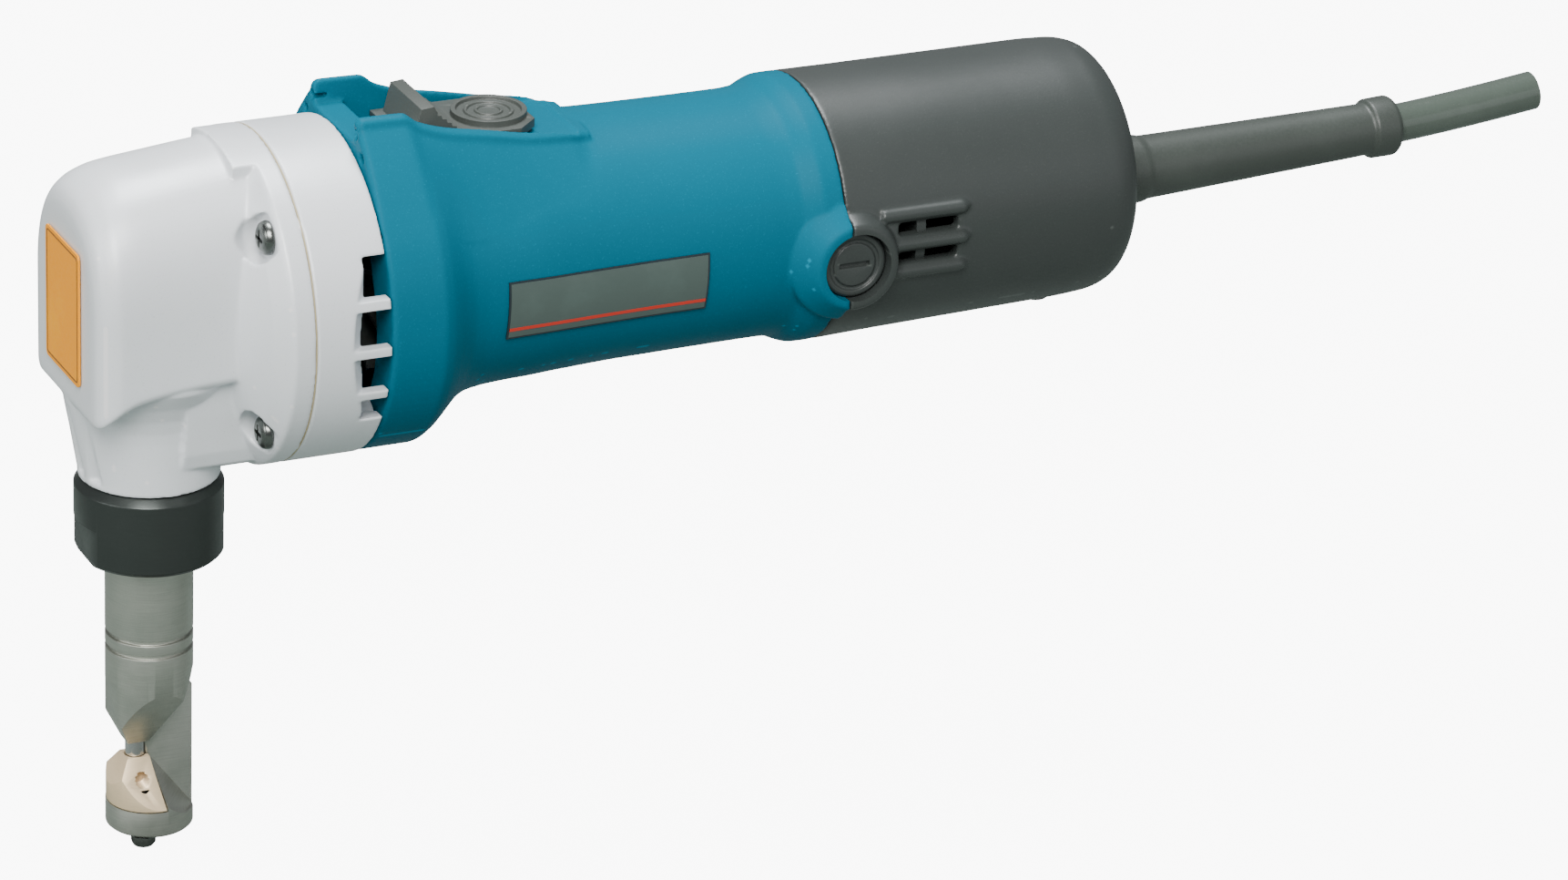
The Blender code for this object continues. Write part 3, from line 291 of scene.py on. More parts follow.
class Surface:
    """A Principled material with its node tree at hand."""

    def __init__(self, name, colour, roughness, metallic=0.0, gloss=0.5):
        self.material = bpy.data.materials.new(name)
        self.material.use_nodes = True
        self.tree = self.material.node_tree
        self.shader = self.tree.nodes["Principled BSDF"]
        self.shader.inputs["Roughness"].default_value = roughness
        self.shader.inputs["Metallic"].default_value = metallic
        self.shader.inputs["Specular IOR Level"].default_value = gloss
        self.colour = self.rgb(colour)
        self.rough = None
        self.base_roughness = roughness
        self.bump_output = None
        self.place = self.node("ShaderNodeTexCoord").outputs["Object"]

    def node(self, kind, **settings):
        made = self.tree.nodes.new(kind)
        for key, value in settings.items():
            setattr(made, key, value)
        return made

    def rgb(self, colour):
        made = self.node("ShaderNodeRGB")
        made.outputs[0].default_value = (*colour, 1)
        return made.outputs[0]

    def noise(self, scale, detail=3.0, roughness=0.6, stretch=None):
        """A noise of so many cells per metre, stretched along an axis if asked."""
        place = self.place
        if stretch:
            mapping = self.node("ShaderNodeMapping")
            mapping.inputs["Scale"].default_value = stretch
            self.tree.links.new(place, mapping.inputs["Vector"])
            place = mapping.outputs["Vector"]
        made = self.node("ShaderNodeTexNoise")
        made.inputs["Scale"].default_value = scale
        made.inputs["Detail"].default_value = detail
        made.inputs["Roughness"].default_value = roughness
        self.tree.links.new(place, made.inputs["Vector"])
        return made.outputs["Fac"]

    def ramp(self, value, low, high, to_low=0.0, to_high=1.0):
        made = self.node("ShaderNodeMapRange")
        for key, number in (("From Min", low), ("From Max", high), ("To Min", to_low), ("To Max", to_high)):
            made.inputs[key].default_value = number
        self.tree.links.new(value, made.inputs["Value"])
        return made.outputs["Result"]

    def mix(self, share, colour):
        """Blend the colour so far towards another one by a 0..1 share."""
        made = self.node("ShaderNodeMix", data_type="RGBA")
        self.tree.links.new(share, made.inputs["Factor"])
        self.tree.links.new(self.colour, made.inputs[6])
        made.inputs[7].default_value = (*colour, 1)
        self.colour = made.outputs[2]
        return self

    def edges(self, low, high):
        """Where the surface is sharply convex, for worn edges."""
        return self.ramp(self.node("ShaderNodeNewGeometry").outputs["Pointiness"], low, high)

    def vary_roughness(self, value, low, high):
        self.rough = self.ramp(value, 0.3, 0.7, low, high)
        return self

    def bump(self, value, strength, distance):
        made = self.node("ShaderNodeBump")
        made.inputs["Strength"].default_value = strength
        made.inputs["Distance"].default_value = distance
        self.tree.links.new(value, made.inputs["Height"])
        if self.bump_output:
            self.tree.links.new(self.bump_output, made.inputs["Normal"])
        self.bump_output = made.outputs["Normal"]
        return self

    def done(self):
        self.tree.links.new(self.colour, self.shader.inputs["Base Color"])
        if self.rough:
            self.tree.links.new(self.rough, self.shader.inputs["Roughness"])
        if self.bump_output:
            self.tree.links.new(self.bump_output, self.shader.inputs["Normal"])
        return self.material


def cast_paint():
    """Silver paint on cast aluminium: fine grain, faint mottling, brighter worn edges."""
    made = Surface("cast_paint", (0.70, 0.73, 0.755), 0.42, 0.12)
    fine = made.noise(2600, 2)
    broad = made.noise(45, 3)
    made.mix(made.ramp(fine, 0.62, 0.8, 0, 0.5), (0.42, 0.44, 0.46))
    made.mix(made.ramp(broad, 0.55, 0.75, 0, 0.16), (0.60, 0.58, 0.54))
    made.mix(made.edges(0.53, 0.60), (0.80, 0.80, 0.81))
    made.vary_roughness(broad, 0.36, 0.48)
    made.bump(fine, 0.18, 0.00006)
    return made.done()


def moulded(name, colour, light, roughness, grain=0.35, gloss=0.5):
    """Spark-textured moulded plastic with slightly polished edges."""
    made = Surface(name, colour, roughness, gloss=gloss)
    fine = made.noise(2400, 2)
    broad = made.noise(28, 4)
    made.mix(made.ramp(fine, 0.60, 0.80, 0, grain), light)
    made.mix(made.ramp(broad, 0.50, 0.75, 0, 0.20), tuple(channel * 0.75 for channel in colour))
    made.mix(made.edges(0.54, 0.64), light)
    made.vary_roughness(broad, roughness - 0.05, roughness + 0.06)
    made.bump(fine, 0.30, 0.00007)
    return made.done()


def brushed(name, colour, roughness, stretch, dark=0.6, metallic=1.0):
    """Turned or ground steel with fine lines across one direction."""
    made = Surface(name, colour, roughness, metallic)
    lines = made.noise(900, 3, 0.7, stretch)
    stains = made.noise(120, 4)
    made.mix(made.ramp(lines, 0.35, 0.75, 0, 0.35), tuple(channel * dark for channel in colour))
    made.mix(made.ramp(stains, 0.58, 0.80, 0, 0.25), tuple(channel * 0.7 for channel in colour))
    made.vary_roughness(stains, roughness - 0.06, roughness + 0.10)
    made.bump(lines, 0.12, 0.00003)
    return made.done()


def plain_rubber(name, colour, roughness, gloss=0.5):
    """A smooth, slightly mottled skin: rubber, film, foil or paper."""
    made = Surface(name, colour, roughness, gloss=gloss)
    fine = made.noise(1800, 3)
    lighter = tuple(min(1, channel * 1.6) for channel in colour)
    made.mix(made.ramp(made.noise(60, 4), 0.5, 0.8, 0, 0.4), lighter)
    made.vary_roughness(fine, roughness - 0.08, roughness + 0.08)
    made.bump(fine, 0.2, 0.00005)
    return made.done()


CAST = cast_paint()
TEAL = moulded("teal_plastic", (0.000, 0.108, 0.168), (0.000, 0.210, 0.330), 0.42, 0.45, 0.03)
BLACK = moulded("black_plastic", (0.030, 0.036, 0.034), (0.070, 0.080, 0.075), 0.40)
KNOB = moulded("knob_plastic", (0.048, 0.056, 0.050), (0.10, 0.11, 0.10), 0.45)
STEEL = brushed("turned_steel", (0.49, 0.50, 0.45), 0.42, (0.15, 0.15, 4.0))
GROUND = brushed("ground_steel", (0.60, 0.60, 0.60), 0.25, (4.0, 0.2, 0.2))
OXIDE = brushed("black_oxide", (0.036, 0.043, 0.040), 0.34, (0.3, 0.3, 3.0), 0.8, 0.6)
SCREW_STEEL = brushed("screw_steel", (0.16, 0.17, 0.16), 0.24, (1.0, 1.0, 1.0))
BRONZE = brushed("straw_steel", (0.78, 0.62, 0.40), 0.42, (0.4, 0.4, 3.0), 0.80, 0.4)
COPPER = brushed("copper", (0.75, 0.40, 0.24), 0.30, (3.0, 0.3, 0.3))
BRASS = brushed("brass", (0.76, 0.60, 0.30), 0.30, (3.0, 0.3, 0.3))
IRON = brushed("laminations", (0.26, 0.27, 0.29), 0.45, (9.0, 0.1, 0.1))
RUBBER = plain_rubber("rubber", (0.038, 0.046, 0.040), 0.45)
CORD = plain_rubber("cord_skin", (0.066, 0.084, 0.070), 0.20)
CARBON = plain_rubber("carbon", (0.05, 0.05, 0.05), 0.6)
ORANGE = plain_rubber("orange_label", (0.90, 0.33, 0.002), 0.45, 0.15)
PLATE = plain_rubber("grey_plate", (0.060, 0.086, 0.078), 0.38)
RIM = plain_rubber("plate_rim", (0.012, 0.020, 0.026), 0.35)
RED = plain_rubber("red_line", (0.52, 0.022, 0.010), 0.4)
INK = plain_rubber("label_ink", (0.10, 0.035, 0.01), 0.5)
PAPER = plain_rubber("seal_paper", (0.42, 0.36, 0.22), 0.7)


# ---------- casings


def circle(x, centre_z, radius, sides=120):
    """A ring of points across the motor's axis."""
    return [(x, radius * math.sin(a), centre_z + radius * math.cos(a)) for a in full_turn(sides)]


def blend_stations(stations, per_gap=6):
    """Points on a smooth curve through the stations, without overshoot."""
    count = len(stations)
    slopes = []
    for i in range(count):
        if i in (0, count - 1):
            slopes.append([0.0] * len(stations[0]))
            continue
        before, here, after = stations[i - 1], stations[i], stations[i + 1]
        slope = []
        for k in range(len(here)):
            left = (here[k] - before[k]) / (here[0] - before[0])
            right = (after[k] - here[k]) / (after[0] - here[0])
            slope.append(0.0 if left * right <= 0 else 2 * left * right / (left + right))
        slopes.append(slope)
    made = []
    for i in range(count - 1):
        a, b = stations[i], stations[i + 1]
        gap = b[0] - a[0]
        for step in range(per_gap):
            t = step / per_gap
            row = [a[0] + gap * t]
            for k in range(1, len(a)):
                row.append(
                    (2 * t**3 - 3 * t**2 + 1) * a[k] + (t**3 - 2 * t**2 + t) * gap * slopes[i][k]
                    + (-2 * t**3 + 3 * t**2) * b[k] + (t**3 - t**2) * gap * slopes[i + 1][k]
                )
            made.append(tuple(row))
    made.append(tuple(stations[-1]))
    return made


def arch_section(x, half_width, low, top, corner=2.6 * MM, steps=48):
    """A section with flat sides, rounded lower corners and a full, slightly square arch."""
    squareness = 2.3
    shoulder = 2.0 * MM
    ring = []
    for i in range(steps + 1):
        angle = math.pi * i / steps
        across, up = math.cos(angle), math.sin(angle)
        y = math.copysign(abs(across) ** (2 / squareness), across) * half_width
        ring.append((x, y, shoulder + (top - shoulder) * abs(up) ** (2 / squareness)))
    for side, first in ((-1, 180), (1, 270)):
        for step in range(7):
            angle = math.radians(first + 90 * step / 6)
            ring.append((x, side * (half_width - corner) + corner * math.cos(angle),
                         low + corner + corner * math.sin(angle)))
    return ring


def head_body():
    """The arched body, its front edge rounded by narrowing the last sections."""
    front = HEAD_LOW.x
    plan = (
        (front, 17.6, -21.6, 21.1), (front + 0.15 * MM, 19.2, -22.8, 22.9),
        (front + 0.6 * MM, 20.6, -23.4, 24.7), (-18.7 * MM, 21.9, -23.2, 26.4),
        (-17.3 * MM, 23.1, -22.0, 28.0), (-14.4 * MM, 24.0, -19.6, 30.0),
        (-10.0 * MM, 24.0, -17.8, 31.6), (1.5 * MM, 24.0, -16.2, 33.1), (14.0 * MM, 24.0, -15.4, 34.5),
        (21.0 * MM, 24.0, -15.0, 35.1),
    )
    rows = [(x, half * MM, low * MM, top * MM) for x, half, low, top in plan]
    return loft("head_casting", [arch_section(*row) for row in blend_stations(rows, 5)])


def make_keel():
    """The rib under the head, rounded like the flange."""
    side = [
        (21.0, -13.0), (19.5, -24.0), (17.9, -34.0), (16.6, -37.9), (12.0, -40.4), (6.0, -41.7), (0, -42.1),
    ]
    outline = side + [(-y, z) for y, z in reversed(side[:-1])]
    return loft("keel", [mm(*[(x, y, z) for y, z in outline]) for x in (2.0, 21.5)])


def make_neck():
    """The neck: it flares steeply to the sides and gently to the front, and ends in a round spigot."""
    sections = mm(
        (-8.0, 19.8, 23.6), (-16.5, 20.0, 23.4), (-18.5, 20.0, 22.0), (-21.0, 20.0, 20.2),
        (-24.5, 19.8, 18.5), (-28.0, 19.2, 17.5), (-31.0, 18.6, 17.1), (-35.0, 17.9, 16.8),
        (-39.0, 17.2, 16.6), (-42.5, 16.6, 16.5), (-44.2, 16.5, 16.5), (-44.21, 13.5, 13.5),
        (-57.8, 13.5, 13.5),
    )
    return loft("neck", [
        [(half_x * math.cos(a), half_y * math.sin(a), z) for a in full_turn(96)]
        for z, half_x, half_y in sections
    ])


def make_head():
    """The cast head: arched body, coned flange, keel and neck, with its pockets and slots."""
    flange = 20.0 * MM
    back = HEAD_HIGH.x
    head = head_body()
    cone = turned(
        "cone",
        mm((8, 0), (8, 19), (12.4, 24.4), (14.6, 29.5), (17.2, 34.6), (19.4, 37.7))
        + [(20.2 * MM, RING_RADIUS - 0.6 * MM), (20.9 * MM, RING_RADIUS), (back, RING_RADIUS), (back, 0)],
        (0, 0, RING_CENTRE), edge=0,
    )
    lip = rod("lip", RING_RADIUS, (15.0 * MM, 0, RING_CENTRE), (21.4 * MM, 0, RING_CENTRE), 144)
    trim(lip, block("lip_zone", (14 * MM, -13.5 * MM, 20 * MM), (23 * MM, 13.5 * MM, 50 * MM)))
    neck = make_neck()
    join(head, cone, lip, neck, make_keel())
    for i, (y, z) in enumerate(SCREWS):
        pocket = rod(f"pocket_{i}", 3.2 * MM, (12.2 * MM, y, z), (15.4 * MM, y, z), end_radius=5.7 * MM)
        mouth = rod(f"pocket_mouth_{i}", 5.7 * MM, (15.3 * MM, y, z), (flange - 0.2 * MM, y, z))
        cut(head, pocket, mouth)
    for i, angle in enumerate((-22, 0, 22)):
        cut(head, neck_slot(f"neck_slot_{i}", math.radians(180 + angle)))
    soften(head, 0.42 * MM, 5)
    cut(
        head,
        rod("gear_room", RING_RADIUS - RING_WALL, (22.1 * MM, 0, RING_CENTRE), (30 * MM, 0, RING_CENTRE), 96),
    )
    join(head, *[
        rod(f"column_{i}", 5 * MM, (21.2 * MM, y, z), (back, y, z)) for i, (y, z) in enumerate(SCREWS)
    ])
    cut(
        head,
        rod("collar_room", 12.5 * MM, (0, 0, -16.5 * MM), (0, 0, 14.7 * MM)),
        rod("holder_bore", HOLDER_RADIUS + SLIP, (0, 0, -60 * MM), (0, 0, -14 * MM)),
        rod("sleeve_bore", 9.3 * MM, (0, 0, 10 * MM), (0, 0, 26.8 * MM)),
        rod("crank_room", 11.3 * MM, (4 * MM, 0, 0), (14.2 * MM, 0, 0)),
        rod("bearing_bore", 12.3 * MM, (13.8 * MM, 0, 0), (24 * MM, 0, 0)),
        rod("idler_bore", 6.3 * MM, (16.8 * MM, 0, IDLER_Z), (24 * MM, 0, IDLER_Z)),
        *screw_holes(15 * MM, 28 * MM),
    )
    finish_piece(head, CAST, "cast_aluminium", "housing", "gear_housing", angle=40)


def screw_holes(start, end, sides=48):
    """Cutters for the housing screws, along X."""
    return [
        rod(f"screw_hole_{i}", SCREW_HOLE, (start, *spot), (end, *spot), sides)
        for i, spot in enumerate(SCREWS)
    ]


def neck_slot(name, angle):
    """A shallow upright pocket in the neck's front, leaning out with the flare."""
    out = Vector((math.cos(angle), math.sin(angle), 0))
    low = out * 17.7 * MM + Vector((0, 0, -43.0 * MM))
    high = out * 20.6 * MM + Vector((0, 0, -25.0 * MM))
    return rod(name, 2.6 * MM, low, high, 32, end_radius=1.1 * MM)


def make_vent_ring():
    """The ring behind the head, with its windows and fins."""
    front, back = RING_LOW.x, RING_HIGH.x
    ring = turned(
        "vent_ring_casting",
        [(front, RING_RADIUS - RING_WALL), (front, RING_RADIUS), (back, RING_RADIUS),
         (back, RING_RADIUS - RING_WALL)],
        (0, 0, RING_CENTRE), steps=144, edge=0.35 * MM,
    )
    wall = rod("wall", RING_RADIUS - MM, (32 * MM, 0, RING_CENTRE), (34.4 * MM, 0, RING_CENTRE), 96)
    boss = rod("boss", 13.5 * MM, (33 * MM, 0, 0), (41.8 * MM, 0, 0), 64)
    idler_boss = rod("idler_boss", 8.5 * MM, (33 * MM, 0, IDLER_Z), (38.4 * MM, 0, IDLER_Z))
    columns = [rod(f"column_{i}", 5 * MM, (front, y, z), (back, y, z)) for i, (y, z) in enumerate(SCREWS)]
    join(ring, wall, boss, idler_boss, *columns)
    windows = ((16.2, 6.9), (4.7, -4.3), (-6.5, -15.5), (-17.8, -23.6))
    outline = ((33.3, 40.9), (38.4, 35.4), (38.4, 30.2), (46.0, 30.2), (46.0, 42.0), (33.3, 42.0))
    for i, (high, low) in enumerate(windows):
        for side in (-1, 1):
            rings = [mm(*[(x, side * y, z) for x, y in outline]) for z in (low, high)]
            cut(ring, loft(f"window_{i}_{side}", rings))
    soften(ring, 0.40 * MM, 2)
    cut(
        ring,
        rod("bearing_bore", 11.3 * MM, (34.6 * MM, 0, 0), (45 * MM, 0, 0), 64),
        rod("shaft_hole", 5.6 * MM, (30 * MM, 0, 0), (36 * MM, 0, 0)),
        rod("idler_bore", 6.3 * MM, (30 * MM, 0, IDLER_Z), (36.8 * MM, 0, IDLER_Z)),
        *screw_holes(24 * MM, 46 * MM),
    )
    finish_piece(ring, CAST, "cast_aluminium", "housing", "vent_ring", angle=40)


def make_gasket():
    """The thin paper seal that shows as a fine line between the head and the ring."""
    outer = RING_RADIUS - 0.12 * MM
    inner = outer - 2.5 * MM
    seal = turned(
        "seam_gasket",
        [(HEAD_HIGH.x, inner), (HEAD_HIGH.x, outer), (RING_LOW.x, outer), (RING_LOW.x, inner)],
        (0, 0, RING_CENTRE), steps=144, edge=0,
    )
    finish_piece(seal, PAPER, "rubber", "housing", angle=30)


def brush_boss(name, side, flare):
    """The raised round wall round a brush cap; its foot spreads out by the flare."""
    foot = 12.4 * MM + flare
    return turned(
        name,
        [(20 * MM, 0), (20 * MM, foot), (29.8 * MM, foot), (31.4 * MM, 12.0 * MM + flare * 0.6),
         (33.4 * MM, 11.2 * MM + flare * 0.25)] + mm((34.9, 10.6), (35.5, 9.9), (35.5, 0)),
        (CAP_X, 0, CAP_Z), (0, side, 0), edge=0.8 * MM,
    )


def brush_bores(side):
    """Cutters for the brush's bore and the wider mouth round its cap."""
    end = (CAP_X, side * 38 * MM, CAP_Z)
    return (
        rod(f"brush_bore_{side}", 7.2 * MM, (CAP_X, side * 10 * MM, CAP_Z), end),
        rod(f"brush_mouth_{side}", 8.4 * MM, (CAP_X, side * 31.2 * MM, CAP_Z), end, 64),
    )


# The teal body's outer shape: x, height of the centre, radius (mm)
BODY_STATIONS = (
    (45.2, -3.4, 39.4), (57.0, -3.4, 39.4), (59.5, -3.3, 38.4), (62.0, -3.1, 36.6), (65.0, -2.6, 34.3),
    (68.0, -1.8, 32.6), (72.0, -1.0, 31.6), (78.0, -0.5, 31.2), (86.0, -0.2, 31.1), (96.0, -0.2, 30.6),
    (112.0, -0.2, 30.0), (146.0, -0.1, 29.7), (150.6, 0.0, 30.0), (154.0, 0.0, 31.4), (156.4, 0.0, 32.15),
)


def body_section(x):
    """The body's centre height and radius in metres, at x in millimetres."""
    for (x0, z0, r0), (x1, z1, r1) in zip(BODY_STATIONS, BODY_STATIONS[1:]):
        if x0 <= x <= x1:
            share = (x - x0) / (x1 - x0)
            return (z0 + (z1 - z0) * share) * MM, (r0 + (r1 - r0) * share) * MM


def hood_ring(x, top, half_width):
    """The hood's section: its sides leave the round body smoothly and rise to a narrow, rounded top."""
    centre, radius = body_section(max(x / MM, BODY_STATIONS[0][0]))
    edge_z = top - 2.2 * MM
    reach = max(radius, math.hypot(half_width, edge_z - centre))
    angle = math.atan2(edge_z - centre, half_width) - math.acos(radius / reach) - math.radians(5)
    foot_y = radius * math.cos(angle)
    foot_z = centre + radius * math.sin(angle)
    lead = 0.55 * math.hypot(foot_y - half_width, edge_z - foot_z)
    bend_y = foot_y - lead * math.sin(angle)
    bend_z = foot_z + lead * math.cos(angle)
    side = [(foot_y - 4 * MM, foot_z - 8 * MM)]
    for i in range(7):
        t = i / 7
        side.append((
            (1 - t) ** 2 * foot_y + 2 * t * (1 - t) * bend_y + t * t * half_width,
            (1 - t) ** 2 * foot_z + 2 * t * (1 - t) * bend_z + t * t * edge_z,
        ))
    side += [(half_width, edge_z), (half_width - 0.5 * MM, top - 0.7 * MM), (half_width - 1.8 * MM, top)]
    return [(x, y, z) for y, z in side] + [(x, -y, z) for y, z in reversed(side)]


def make_motor_housing():
    """The teal body: flange, grip, collar, hood, trough and brush bosses."""
    front, back = HOUSING_LOW.x, HOUSING_HIGH.x
    stations = ((front, -3.4 * MM, 38.9 * MM), *mm(*BODY_STATIONS), (back, 0.0, COLLAR_RADIUS))
    housing = loft("motor_housing_shell", [circle(*row) for row in blend_stations(stations)])
    hood_line = [(front + 0.2 * MM, 40.4 * MM, 15.3 * MM)] + mm(
        (45.8, 41.4, 15.5), (56.0, 41.2, 15.5), (60.0, 38.6, 15.6), (67.0, 36.3, 15.6), (76.0, 34.6, 15.5),
        (88.0, 32.3, 15.0), (98.0, 31.1, 13.6), (104.0, 29.9, 11.5),
    )
    hood = loft("hood", [hood_ring(*row) for row in blend_stations(hood_line, 5)])
    join(housing, hood)
    bosses = [brush_boss(f"boss_{side}", side, 2.6 * MM) for side in (-1, 1)]
    for i, boss in enumerate(bosses):
        cut(boss, block(f"behind_{i}", (back, -0.05, -0.05), (0.19, 0.05, 0.05)))
    join(housing, *bosses)
    cut(
        housing,
        block("trough", (51.6 * MM, -TROUGH_HALF, TROUGH_FLOOR), (101 * MM, TROUGH_HALF, 0.05)),
        block("trough_front", (43.0 * MM, -TROUGH_HALF, 35.8 * MM), (54 * MM, TROUGH_HALF, 0.05)),
        *[rod(f"rim_hole_{side}_{i}", 1.15 * MM, (front - MM, side * y, z), (front + 4 * MM, side * y, z), 24)
          for side in (-1, 1) for i, (y, z) in enumerate(mm((13.6, 37.6), (17.4, 33.0), (30.0, 18.5)))],
    )
    soften(housing, 0.45 * MM, 4)
    cut(
        housing,
        rod("bore", 26.9 * MM, (40 * MM, 0, 0), (165 * MM, 0, 0), 96),
        rod("mouth", 29.0 * MM, (40 * MM, 0, -6 * MM), (64 * MM, 0, -6 * MM), 96),
        block("switch_slot", (66.4 * MM, -3.1 * MM, 24 * MM), (80.2 * MM, 3.1 * MM, 33 * MM)),
    )
    join(housing, *[
        rod(f"column_{i}", 4.2 * MM, (146 * MM, y, z), (back, y, z)) for i, (y, z) in enumerate(COVER_SCREWS)
    ])
    cut(
        housing,
        *[rod(f"column_hole_{i}", COVER_SCREW_HOLE, (149.5 * MM, y, z), (165 * MM, y, z), 24)
          for i, (y, z) in enumerate(COVER_SCREWS)],
        *screw_holes(40 * MM, 57 * MM, 24),
        *brush_bores(-1), *brush_bores(1),
    )
    finish_piece(housing, TEAL, "teal_plastic", "housing", "motor_housing", angle=40)


def make_rear_cover():
    """The black end cover with its bosses, ribs and air slots."""
    front, end = COVER_LOW.x, COVER_HIGH.x + 0.5 * MM
    corner = mm((7.4, 30.8), (3.6, 29.5), (1.3, 26.9), (0.25, 22.6), (0, 16), (0, 0))
    outer = [(front - MM, COLLAR_RADIUS), *mm((175, 31.9), (226, 31.3))]
    outer += [(end - distance, radius) for distance, radius in corner]
    shell_line = (0, 0, -SHELL_RISE * front), (1, 0, SHELL_RISE)
    cover = turned("rear_cover_shell", [(front - MM, 0)] + outer, *shell_line, steps=144, edge=2.0 * MM)
    bosses = [brush_boss(f"boss_{side}", side, 0) for side in (-1, 1)]
    for i, piece in enumerate((cover, *bosses)):
        cut(piece, block(f"before_{i}", (0.14, -0.05, -0.05), (front, 0.05, 0.05)))
    join(cover, *bosses)
    for side in (-1, 1):
        for i, level in enumerate((7.2, 0.0, -7.2)):
            y = math.sqrt((31.7 * MM) ** 2 - (level * MM) ** 2)
            z = level * MM
            rib = rod(f"rib_{i}", 1.7 * MM, (170 * MM, side * y, z), (191 * MM, side * y, z), 24)
            tip_end = (195 * MM, side * (y - 1.2 * MM), z)
            tip = rod(f"rib_tip_{i}", 1.7 * MM, (190.9 * MM, side * y, z), tip_end, 24, end_radius=0.3 * MM)
            join(cover, rib, tip)
        for i, level in enumerate((3.6, -3.6)):
            near, far = sorted((side * 27, side * 36))
            cut(cover, block(f"slot_{i}", *mm((174.5, near, level - 1.5), (190, far, level + 1.5))))
    soften(cover, 0.45 * MM, 3)
    inner = [(front - 2 * MM, 0), (front - 2 * MM, 29.4 * MM)]
    inner += mm((175, 29.4), (228, 28.0), (234, 25.2), (237.6, 18), (237.6, 0))
    cut(cover, turned("inside", inner, *shell_line, steps=96, edge=0))
    join(
        cover,
        rod("wall", 30.2 * MM, (179.8 * MM, 0, 0), (182.2 * MM, 0, 0), 96),
        rod("seat", 13.6 * MM, (173.2 * MM, 0, 0), (181 * MM, 0, 0)),
        *[rod(f"post_{side}", 3 * MM, *mm((223, side * 9, -28.5), (223, side * 9, 1.7)), 24)
          for side in (-1, 1)],
        *[rod(f"column_{i}", 4.2 * MM, (front, y, z), (233 * MM, y, z), 32)
          for i, (y, z) in enumerate(COVER_SCREWS)],
    )
    cut(
        cover,
        rod("seat_bore", 11.5 * MM, (170 * MM, 0, 0), (179.6 * MM, 0, 0)),
        rod("shaft_hole", 5 * MM, (178 * MM, 0, 0), (190 * MM, 0, 0)),
        rod("cord_hole", 6.4 * MM, (232 * MM, 0, -3.4 * MM), (244 * MM, 0, -3.3 * MM)),
        block("bar_slot", (175 * MM, -4.2 * MM, 23.2 * MM), (186 * MM, 4.2 * MM, 27.8 * MM)),
        *[rod(f"clamp_hole_{side}", 1.4 * MM, *mm((223, side * 9, -12), (223, side * 9, 5)), 24)
          for side in (-1, 1)],
        *[rod(f"screw_hole_{i}", COVER_SCREW_HOLE, (158 * MM, y, z), (230 * MM, y, z), 24)
          for i, (y, z) in enumerate(COVER_SCREWS)],
        *[rod(f"screw_mouth_{i}", 3.9 * MM, (226 * MM, y, z), (244 * MM, y, z), 32)
          for i, (y, z) in enumerate(COVER_SCREWS)],
        *brush_bores(-1), *brush_bores(1),
    )
    finish_piece(cover, BLACK, "black_plastic", "housing", "rear_cover", angle=40)


# ---------- cutting end


def make_lock_nut():
    """The clamping nut, chamfered at the top, with two wrench flats below."""
    top, bottom = NUT_HIGH.z, NUT_LOW.z
    nut = turned(
        "lock_nut_body",
        [(top, 13.9 * MM), (top, 15.6 * MM), (top - 1.9 * MM, NUT_RADIUS), (bottom + 1.0 * MM, NUT_RADIUS),
         (bottom, NUT_RADIUS - 1.0 * MM), (bottom, HOLDER_RADIUS + SLIP),
         (-58.5 * MM, HOLDER_RADIUS + SLIP), (-58.5 * MM, 13.9 * MM)],
        along=(0, 0, 1), steps=128, edge=0.25 * MM,
    )
    for side in (-1, 1):
        near, far = sorted((side * 15.5 * MM, side * 20 * MM))
        cut(nut, block(f"flat_{side}", (near, -0.02, bottom - 2 * MM), (far, 0.02, -54.5 * MM)))
    bevel(nut, 0.2 * MM, 2, 40)
    finish_piece(nut, OXIDE, "dark_steel", "lock_nut", "lock_nut", angle=35)


def pyramid(name, half_width, level, far_level, slope, front_slope):
    """Four sloping flats round the punch's axis, the front one steeper than the others."""
    rings = []
    for height, run in ((level, 0), (far_level, abs(far_level - level))):
        front = PUNCH_X - half_width - run / front_slope
        back, side = PUNCH_X + half_width + run / slope, half_width + run / slope
        corners = (back, side), (front, side), (front, -side), (back, -side)
        rings.append([(*corner, height) for corner in corners])
    return loft(name, rings)


# The thin web between the punch's guide and the foot, as (x, z)
WEB_OUTLINE = mm(
    (-2.0, -111.5), (-1.4, -115.0), (-0.5, -119.0), (2.9, -127.8), (5.6, -130.6), (5.6, -132.5),
    (11.0, -132.5), (11.0, -100.0), (-2.0, -100.0),
)


